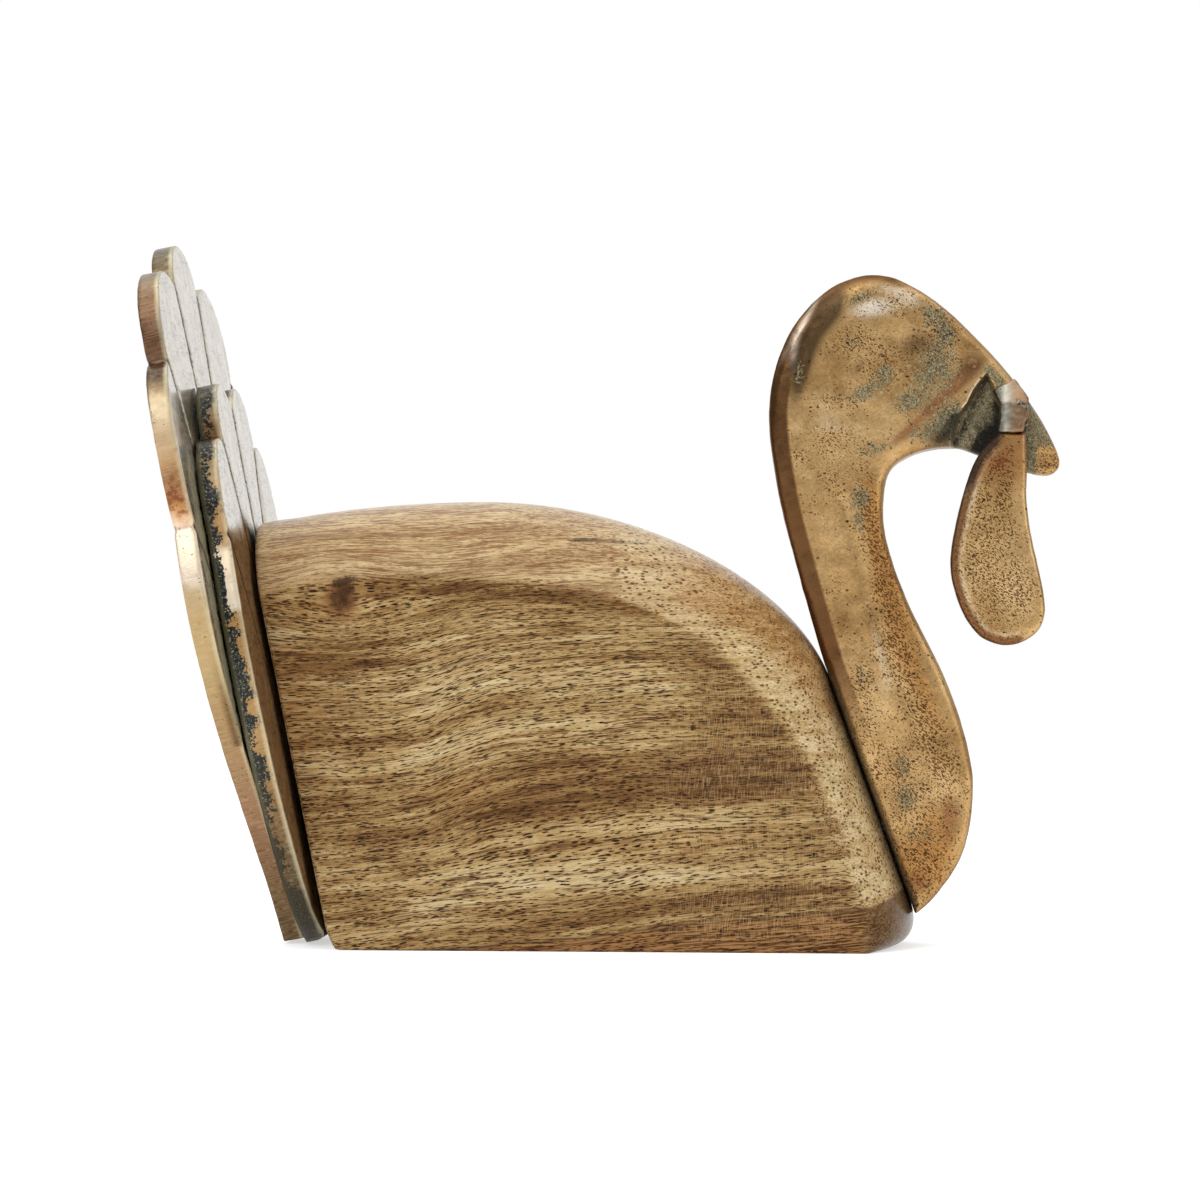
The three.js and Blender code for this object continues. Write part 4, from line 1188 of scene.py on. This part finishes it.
def build_snood(material):
    points = [(a * SNOOD_WIDTH, b * SNOOD_LENGTH) for a, b in SNOOD]
    loop = np.vstack([through(points, 8)[:-1], line(points[-1], points[0], 8)[:-1]])
    loop = softened(even(loop, 0.7, closed=True), 0.7, 0.7)
    loop = inset(loop if area_of(loop) > 0 else loop[::-1], 0.1)

    def heights(p, d, k):
        low = SNOOD_HALF / 2
        pad = SNOOD_HALF - 0.35 - 0.3 * np.clip(1 - d / 6, 0, 1) + 0.22 * waves(p, 12, 21, 2)
        pad = np.minimum(pad, SNOOD_HALF - 0.05)
        round_off = rounding(d, SNOOD_ROUND)
        return low + (pad - low) * round_off, low + (SNOOD_HALF - 0.2 - low) * round_off

    def masks(p, d, k, t):
        x, z = p.T
        left = step01(x + 0.10 * z, -2.0, -5.5)
        strip = step01(d, 3.4, 2.2) * left
        core = step01(d, 3.2, 6.8) * (1 - 0.6 * step01(z, -52, -62))
        rise = step01(z, -24, -10)
        # Painted shade at the rim and on the left strip, a painted highlight along the bevel beside the
        # strip, and darker at the strip's upper part.
        return {
            "smoke": 0.55 * step01(d, 1.0, 0.4), "green": 0.12 * core * step01(z, -40, -58),
            "pale": 0.22 + 0.35 * step01(d, 5.2, 3.6) * step01(d, 1.6, 2.6) * left,
            "warm": 0.04 + 0.22 * blob(p, -3, -38, 6, 26, 8) + 0.55 * rise + 0.3 * strip,
            "rust": 0.45 * rise + 0.8 * strip + 0.18 * core, "gleam": 0 * d, "hollow": 0 * d,
            "pitted": np.clip(0.08 * step01(d, 0.8, 2.0) + 0.92 * core + 0.7 * strip, 0, 1.2),
            "band": 0.5 * strip, "soot": 0.8 * step01(z, -26, -14) * strip}

    hang_x, hang_z = neck_world(np.array([HANG_POINT]))[0]
    middle_y = -BEAK_HALF - SEAT_GAP - LUG_DEPTH + SNOOD_HALF

    def place(local):
        x, z = hang_x + local[:, 0], hang_z - SEAT_GAP + local[:, 1]
        return np.column_stack([x, middle_y - local[:, 2], z])

    rings = round_rings(SNOOD_ROUND, 28, 50, 70, 90)
    return plate("snood_cast", loop, rings, 1.1, heights, place, masks, material, rows=4,
                 rough=(0.08, 0.05))


def build_lug(material):
    """The lug's rough block, worn round."""
    obj = linked("lug_braze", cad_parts["snood_lug"].data.copy())
    remesh = obj.modifiers.new("skin", "REMESH")
    remesh.mode = "VOXEL"
    remesh.voxel_size = 0.35 * MM
    smooth = obj.modifiers.new("soft", "SMOOTH")
    smooth.factor = 0.5
    smooth.iterations = 7
    graph = bpy.context.evaluated_depsgraph_get()
    mesh = bpy.data.meshes.new_from_object(obj.evaluated_get(graph))
    obj.modifiers.clear()
    obj.data = mesh
    co = np.array([v.co for v in mesh.vertices]) / MM
    normals = np.array([v.normal for v in mesh.vertices])
    x, z = co[:, 0], co[:, 2]
    x -= 1.3 * step01(x, 131.5, 127.5) * (0.25 + 0.75 * step01(z, 171, 176))
    x -= 1.1 * step01(x, 131.5, 135.5) * step01(z, 172.4, 170.4)
    bumps = 0.22 * waves(co, 2.6, 31, 2) + 0.42
    moved = (co + normals * bumps[:, None]) * MM
    mesh.vertices.foreach_set("co", moved.astype(np.float32).ravel())
    mesh.polygons.foreach_set("use_smooth", [True] * len(mesh.polygons))
    mesh.materials.clear()
    mesh.materials.append(material)
    mesh.update()
    return obj


# Tail fans. Shares of half the width and of the height.

LARGE = dict(
    width=140.0, height=233.5, foot=0.13,
    lobes=[[(0.34, 0.163), (1.24, 0.345), (0.945, 0.590)],
           [(1.025, 0.648), (1.08, 0.792), (0.83, 0.818)],
           [(0.905, 0.900), (0.64, 0.988), (0.29, 0.936)],
           [(0.26, 1.0235), (-0.26, 1.0235), (-0.29, 0.936)]],
    grooves=[[(0.945, 0.590), (0.486, 0.436), (0.186, 0.146)],
             [(0.83, 0.818), (0.34, 0.592), (0.114, 0.198)],
             [(0.29, 0.936), (0.114, 0.63), (0.043, 0.24)]],
)
SMALL = dict(
    width=112.0, height=182.5, foot=0.18,
    lobes=[[(0.86, 0.088), (1.18, 0.452), (0.93, 0.744)],
           [(0.99, 0.812), (0.84, 0.950), (0.54, 0.908)],
           [(0.60, 1.028), (0.17, 1.056), (0, 0.974)]],
    grooves=[[(0.93, 0.744), (0.44, 0.525), (0.18, 0.16)],
             [(0.54, 0.908), (0.18, 0.690), (0.09, 0.215)],
             [(0, 0.974), (0, 0.59), (0, 0.187)]],
)
SMALL_REAR = -SEAT_GAP - BOSS_HEIGHT - FAN_THICK
LARGE_REAR = SMALL_REAR - SEAT_GAP - FAN_THICK
REAR_LENGTH = MIDDLE["rear"] * CREST / math.cos(REAR_LEAN)
SCREW_HEIGHTS = [share * REAR_LENGTH for share in (0.3, 0.74)]


def fan_point(fan, base, side):
    """A function that turns a pair of shares into a point in mm, on one side of the fan."""
    return lambda pair: (side * pair[0] * fan["width"] / 2, base + pair[1] * fan["height"])


def fan_base(rear):
    return (FOOT_CLEARANCE - rear * math.sin(REAR_LEAN)) / math.cos(REAR_LEAN)


def fan_outline(fan, rear):
    near, far = (fan_point(fan, fan_base(rear), side) for side in (1, -1))
    starts = [(fan["foot"], 0)] + [lobe[2] for lobe in fan["lobes"]]
    chains = [(start, *lobe) for start, lobe in zip(starts, fan["lobes"])]
    across = chains[-1][-1][0] < 0
    parts = [even(bezier(*map(near, chain), 60), 1.0) for chain in chains]
    for chain in reversed(chains[:-1] if across else chains):
        parts.append(even(bezier(*map(far, chain[::-1]), 60), 1.0))
    parts.append(line(far(starts[0]), near(starts[0]), 16))
    loop = softened(np.vstack([p[:-1] for p in parts]), 0.55, 1.0)
    return inset(loop if area_of(loop) > 0 else loop[::-1], 0.2)


def fan_grooves(fan, rear):
    curves = []
    t = np.linspace(0, 1, 80)[:, None]
    for groove in fan["grooves"]:
        for side in ((1,) if groove[0][0] == 0 else (1, -1)):
            a, b, c = (np.array(p) for p in map(fan_point(fan, fan_base(rear), side), groove))
            curves.append((1 - t) ** 2 * a + 2 * (1 - t) * t * b + t**2 * c)
    return curves


def build_fan(name, fan, rear, material, seed):
    """A fan plate. The large one has countersinks in its back, the small one a rounded foot."""
    outline, curves = fan_outline(fan, rear), fan_grooves(fan, rear)
    half, large = FAN_THICK / 2, fan is LARGE
    front_loop = fan_outline(SMALL, SMALL_REAR)

    def groove_of(p):
        return np.min([distance_to(p, c, False)[0] for c in curves], axis=0)

    def heights(p, d, k):
        cut = 0.95 * np.exp(-((groove_of(p) / 0.75) ** 2))
        wave = 0.16 * waves(p, 22, seed, 2) - 0.16
        front = half - 0.8 + (0.8 + wave - cut) * rounding(d, PLATE_ROUND)
        if not large:
            rise = np.clip(p[:, 1] - fan_base(rear), 0, FOOT_ROUND)
            drop = FOOT_ROUND - np.sqrt(np.clip(FOOT_ROUND**2 - (FOOT_ROUND - rise) ** 2, 0, None))
            return front - drop, np.maximum(front, half - 0.3)
        back = front
        for height in SCREW_HEIGHTS:
            r = np.hypot(p[:, 0], p[:, 1] - height)
            back = back - np.clip(SINK_RADIUS - r, 0, 3.2)
        return front, back

    def masks(p, d, k, t):
        x, z = p.T
        groove = np.exp(-((groove_of(p) / 0.95) ** 4)) * step01(d, 0.0, 0.6)
        front = step01(t, 0, 1)
        hidden, stain = 0 * d, 0 * d
        if large:
            gap, _ = distance_to(p, front_loop)
            # A painted reflection of the small fan's edge, beside its outline and low on the large fan's
            # face.
            stain = np.where(inside(p, front_loop), 0, step01(gap, 13, 4)) * front * step01(z, 176, 150)
        else:
            # The painted gap colour reaches up to the wood's crest, as its reflection does.
            top = 141.0 - 0.10 * np.clip(np.abs(x) - 30, 0, 99)
            top = top + 5.0 * waves(p, 16, 41, 3) * step01(np.abs(x), 52, 44)
            hidden = step01(top - z, -2.0, 3.5) * front * step01(d, 0.5, 1.0)
        # lip is a painted highlight line along the front corner of the edge.
        return {
            "groove": groove, "mottled": 0.65 + 0.35 * waves(p, 30, seed + 2, 2), "hidden": hidden,
            "stain": stain, "lip": step01(t, half - 1.3, half - 0.8) * step01(d, 1.0, 0.5)}

    extra = [rows_along(c, (-1.6, -1.0, -0.6, -0.3, 0, 0.3, 0.6, 1.0, 1.6), 1.6) for c in curves]
    if large:
        a = np.linspace(0, 2 * math.pi, 25)[:-1]
        extra += [np.column_stack([r * np.cos(a), height + r * np.sin(a)])
                  for height in SCREW_HEIGHTS for r in (1.9, 2.2, 3.0, 4.0, 5.0, 5.4)]
    rings = round_rings(PLATE_ROUND, 38, 65, 90) + [2.0]
    return plate(name, outline, rings, 3.0, heights, tail_place(rear + half), masks, material,
                 rows=5, rough=(0.08, 0.05), extra=np.vstack(extra))


def build_boss(name, height, material):
    """Cast boss between the small fan and the wood, with a fillet at its foot."""
    sides, radius, foot, face = 48, BOSS_RADIUS, -SEAT_GAP - BOSS_HEIGHT, -SEAT_GAP
    profile = [(foot - 0.6, radius + 2.0), (foot + 0.25, radius + 1.0), (foot + 1.0, radius + 0.3),
               (face - 1.0, radius), (face - 0.3, radius - 0.25), (face, radius - 0.9), (face, 3.2)]
    a = 2 * math.pi * np.arange(sides) / sides
    local = np.vstack([np.column_stack([r * np.cos(a), height + r * np.sin(a), np.full(sides, x)])
                       for x, r in profile])
    faces = []
    for i in range(0, (len(profile) - 1) * sides, sides):
        for s in range(sides):
            j = (s + 1) % sides
            faces.append((i + s, i + j, i + sides + j, i + sides + s))
    # The bosses take the painted gap colour all over.
    none = 0 * local[:, 0]
    attributes = {"plate": local, "edge": none + 5, "along": local[:, 0], "groove": none,
                  "mottled": none + 1, "hidden": none + 1, "stain": none, "lip": none}
    return make_mesh(name, tail_place(0)(local), faces, attributes, material)


# Assembly.

wood, brass, braze, steel = wood_material(), brass_material(), braze_material(), steel_material()
# The large fan's edge by height, with a painted highlight band from 0.485 to 0.582.
large_metal = fan_material("antique_brass_fan", [
    (0.03, 88, 66, 38), (0.08, 104, 78, 46), (0.13, 122, 86, 58), (0.18, 140, 103, 72),
    (0.26, 152, 118, 80), (0.32, 158, 128, 84), (0.39, 172, 146, 98), (0.455, 182, 152, 104),
    (0.485, 206, 178, 134), (0.51, 244, 226, 202), (0.582, 232, 208, 182), (0.60, 188, 130, 70),
    (0.62, 150, 92, 42), (0.642, 144, 100, 58), (0.668, 192, 154, 108), (0.70, 212, 184, 146),
    (0.735, 210, 190, 156), (0.76, 122, 100, 68), (0.785, 60, 44, 28), (0.82, 94, 56, 30),
    (0.86, 84, 52, 28), (0.89, 112, 80, 52), (0.92, 118, 100, 72), (0.95, 84, 72, 46),
], False)
# The small fan's edge by height, with a painted highlight band from 0.478 to 0.545.
small_metal = fan_material("blackened_brass_fan", [
    (0.05, 62, 52, 32), (0.14, 92, 72, 42), (0.22, 126, 94, 52), (0.30, 160, 126, 76), (0.40, 172, 128, 68),
    (0.465, 188, 146, 88), (0.478, 250, 236, 212), (0.545, 246, 226, 196), (0.565, 176, 136, 86),
    (0.62, 196, 152, 100), (0.68, 104, 98, 74), (0.72, 150, 110, 66), (0.76, 96, 92, 72),
], True)

body = build_body(wood)
neck = build_neck(brass)
snood = build_snood(brass)
lug = build_lug(braze)
large = build_fan("large_fan_cast", LARGE, LARGE_REAR, large_metal, 41)
small = build_fan("small_fan_cast", SMALL, SMALL_REAR, small_metal, 43)
bosses = [build_boss(f"fan_boss_{i}", h, small_metal) for i, h in enumerate(SCREW_HEIGHTS)]

for piece, node, slot in (
    (body, "wooden_body", "mango_wood"), (neck, "neck_casting", "antique_brass"),
    (snood, "snood_casting", "antique_brass"), (lug, "snood_lug", "bare_metal"),
    (large, "tail_fan_large", "antique_brass"), (small, "tail_fan_small", "blackened_brass"),
):
    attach(piece, "root")
    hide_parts(node)
for boss in bosses:
    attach(boss, "root")

for name in ("tail_screw_lower", "tail_screw_upper", "neck_stud_lower", "neck_stud_upper"):
    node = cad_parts[name]
    node.data.materials.clear()
    node.data.materials.append(steel)
    node.data.polygons.foreach_set("use_smooth", [True] * len(node.data.polygons))
    node.data.set_sharp_from_angle(angle=math.radians(35))


# Stage, light and camera.


def floor_material():
    """White floor with a glow of its own that only the camera, reflections and refractions see."""
    n = Nodes(bpy.data.materials.new("pale_floor"))
    camera, glossy, passing = n.outputs("ShaderNodeLightPath", (), RAYS)
    diffuse = n.add("BSDF", "ShaderNodeBsdfDiffuse", {"Color": (0.8, 0.8, 0.8, 1)})
    glow = n.add("Emission", "ShaderNodeEmission", {"Color": (1, 1, 1, 1), "Strength": 0.55})
    both = n.add(0, "ShaderNodeAddShader", {0: diffuse, 1: glow})
    seen = n.most(camera, glossy, passing)
    mixed = n.add(0, "ShaderNodeMixShader", {0: seen, 1: diffuse, 2: both})
    n.put(n.tree.nodes["Material Output"].inputs["Surface"], mixed)
    return n.owner


def build_floor(size):
    mesh = bpy.data.meshes.new("floor")
    corners = [(-size, -size, 0), (size, -size, 0), (size, size, 0), (-size, size, 0)]
    mesh.from_pydata(corners, [], [(0, 1, 2, 3)])
    mesh.materials.append(floor_material())
    floor = linked("floor", mesh)


def build_world():
    """White to the camera, an even grey as a light, and darker in front and low in reflections."""
    world = bpy.data.worlds.new("studio")
    bpy.context.scene.world = world
    n = Nodes(world)
    n.tree.nodes.clear()

    def blend(share, a, b):
        return n.add(0, "ShaderNodeMix", {0: share, 2: a, 3: b}, data_type="FLOAT")

    camera, glossy, passing = n.outputs("ShaderNodeLightPath", (), RAYS)
    x, y, z = n.split(n.add("Generated", "ShaderNodeTexCoord"))
    ahead = n.math("ABSOLUTE", x).fade(0.40, 0.85, 0.46, 0.22)
    above = z.fade(0.25, 0.85, ahead, 0.9)
    around = y.fade(-0.15, 0.35, above, 1.0)
    strength = blend(n.most(camera, passing), blend(glossy, 0.60, around), 1.0)
    lit = n.add(0, "ShaderNodeBackground", {"Color": (1, 1, 1, 1), "Strength": strength})
    n.node("ShaderNodeOutputWorld", {"Surface": lit})


def area_light(name, at, target, size, power):
    light = bpy.data.lights.new(name, "AREA")
    light.shape = "RECTANGLE"
    light.size, light.size_y = size
    light.energy = power
    obj = linked(name, light)
    obj.location = at
    obj.rotation_mode = "QUATERNION"
    obj.rotation_quaternion = (Vector(target) - Vector(at)).to_track_quat("-Z", "Y")


def build_camera():
    """Level camera, in mm, turned a little from square to the body's side. One pixel of the photo
    shows 0.33 mm at the figure's middle."""
    yaw, away, aim_x, height = math.radians(4.1), 1200.0, -4.0, 113.3
    pixel, pixels, sensor = 0.33, 1200, 36.0
    camera = bpy.data.cameras.new("camera")
    camera.sensor_fit = "HORIZONTAL"
    camera.sensor_width = sensor
    camera.lens = sensor * away / pixel / pixels
    camera.clip_start, camera.clip_end = 0.05, 50
    obj = linked("camera", camera)
    at = (aim_x + away * math.sin(yaw), -away * math.cos(yaw), height)
    obj.location = [v * MM for v in at]
    obj.rotation_euler = (math.radians(90), 0, yaw)
    bpy.context.scene.camera = obj


build_floor(6.0)
build_world()
area_light("key", (-0.70, -1.05, 1.10), (0, 0, 0.1), (1.1, 1.1), 7.5)
area_light("side", (1.15, -0.75, 0.45), (0.02, 0, 0.1), (0.7, 1.1), 3.0)
area_light("top", (0.0, 0.10, 1.5), (0, 0, 0.1), (1.7, 1.3), 8.0)
build_camera()
bpy.context.scene.view_settings.view_transform = "Standard"
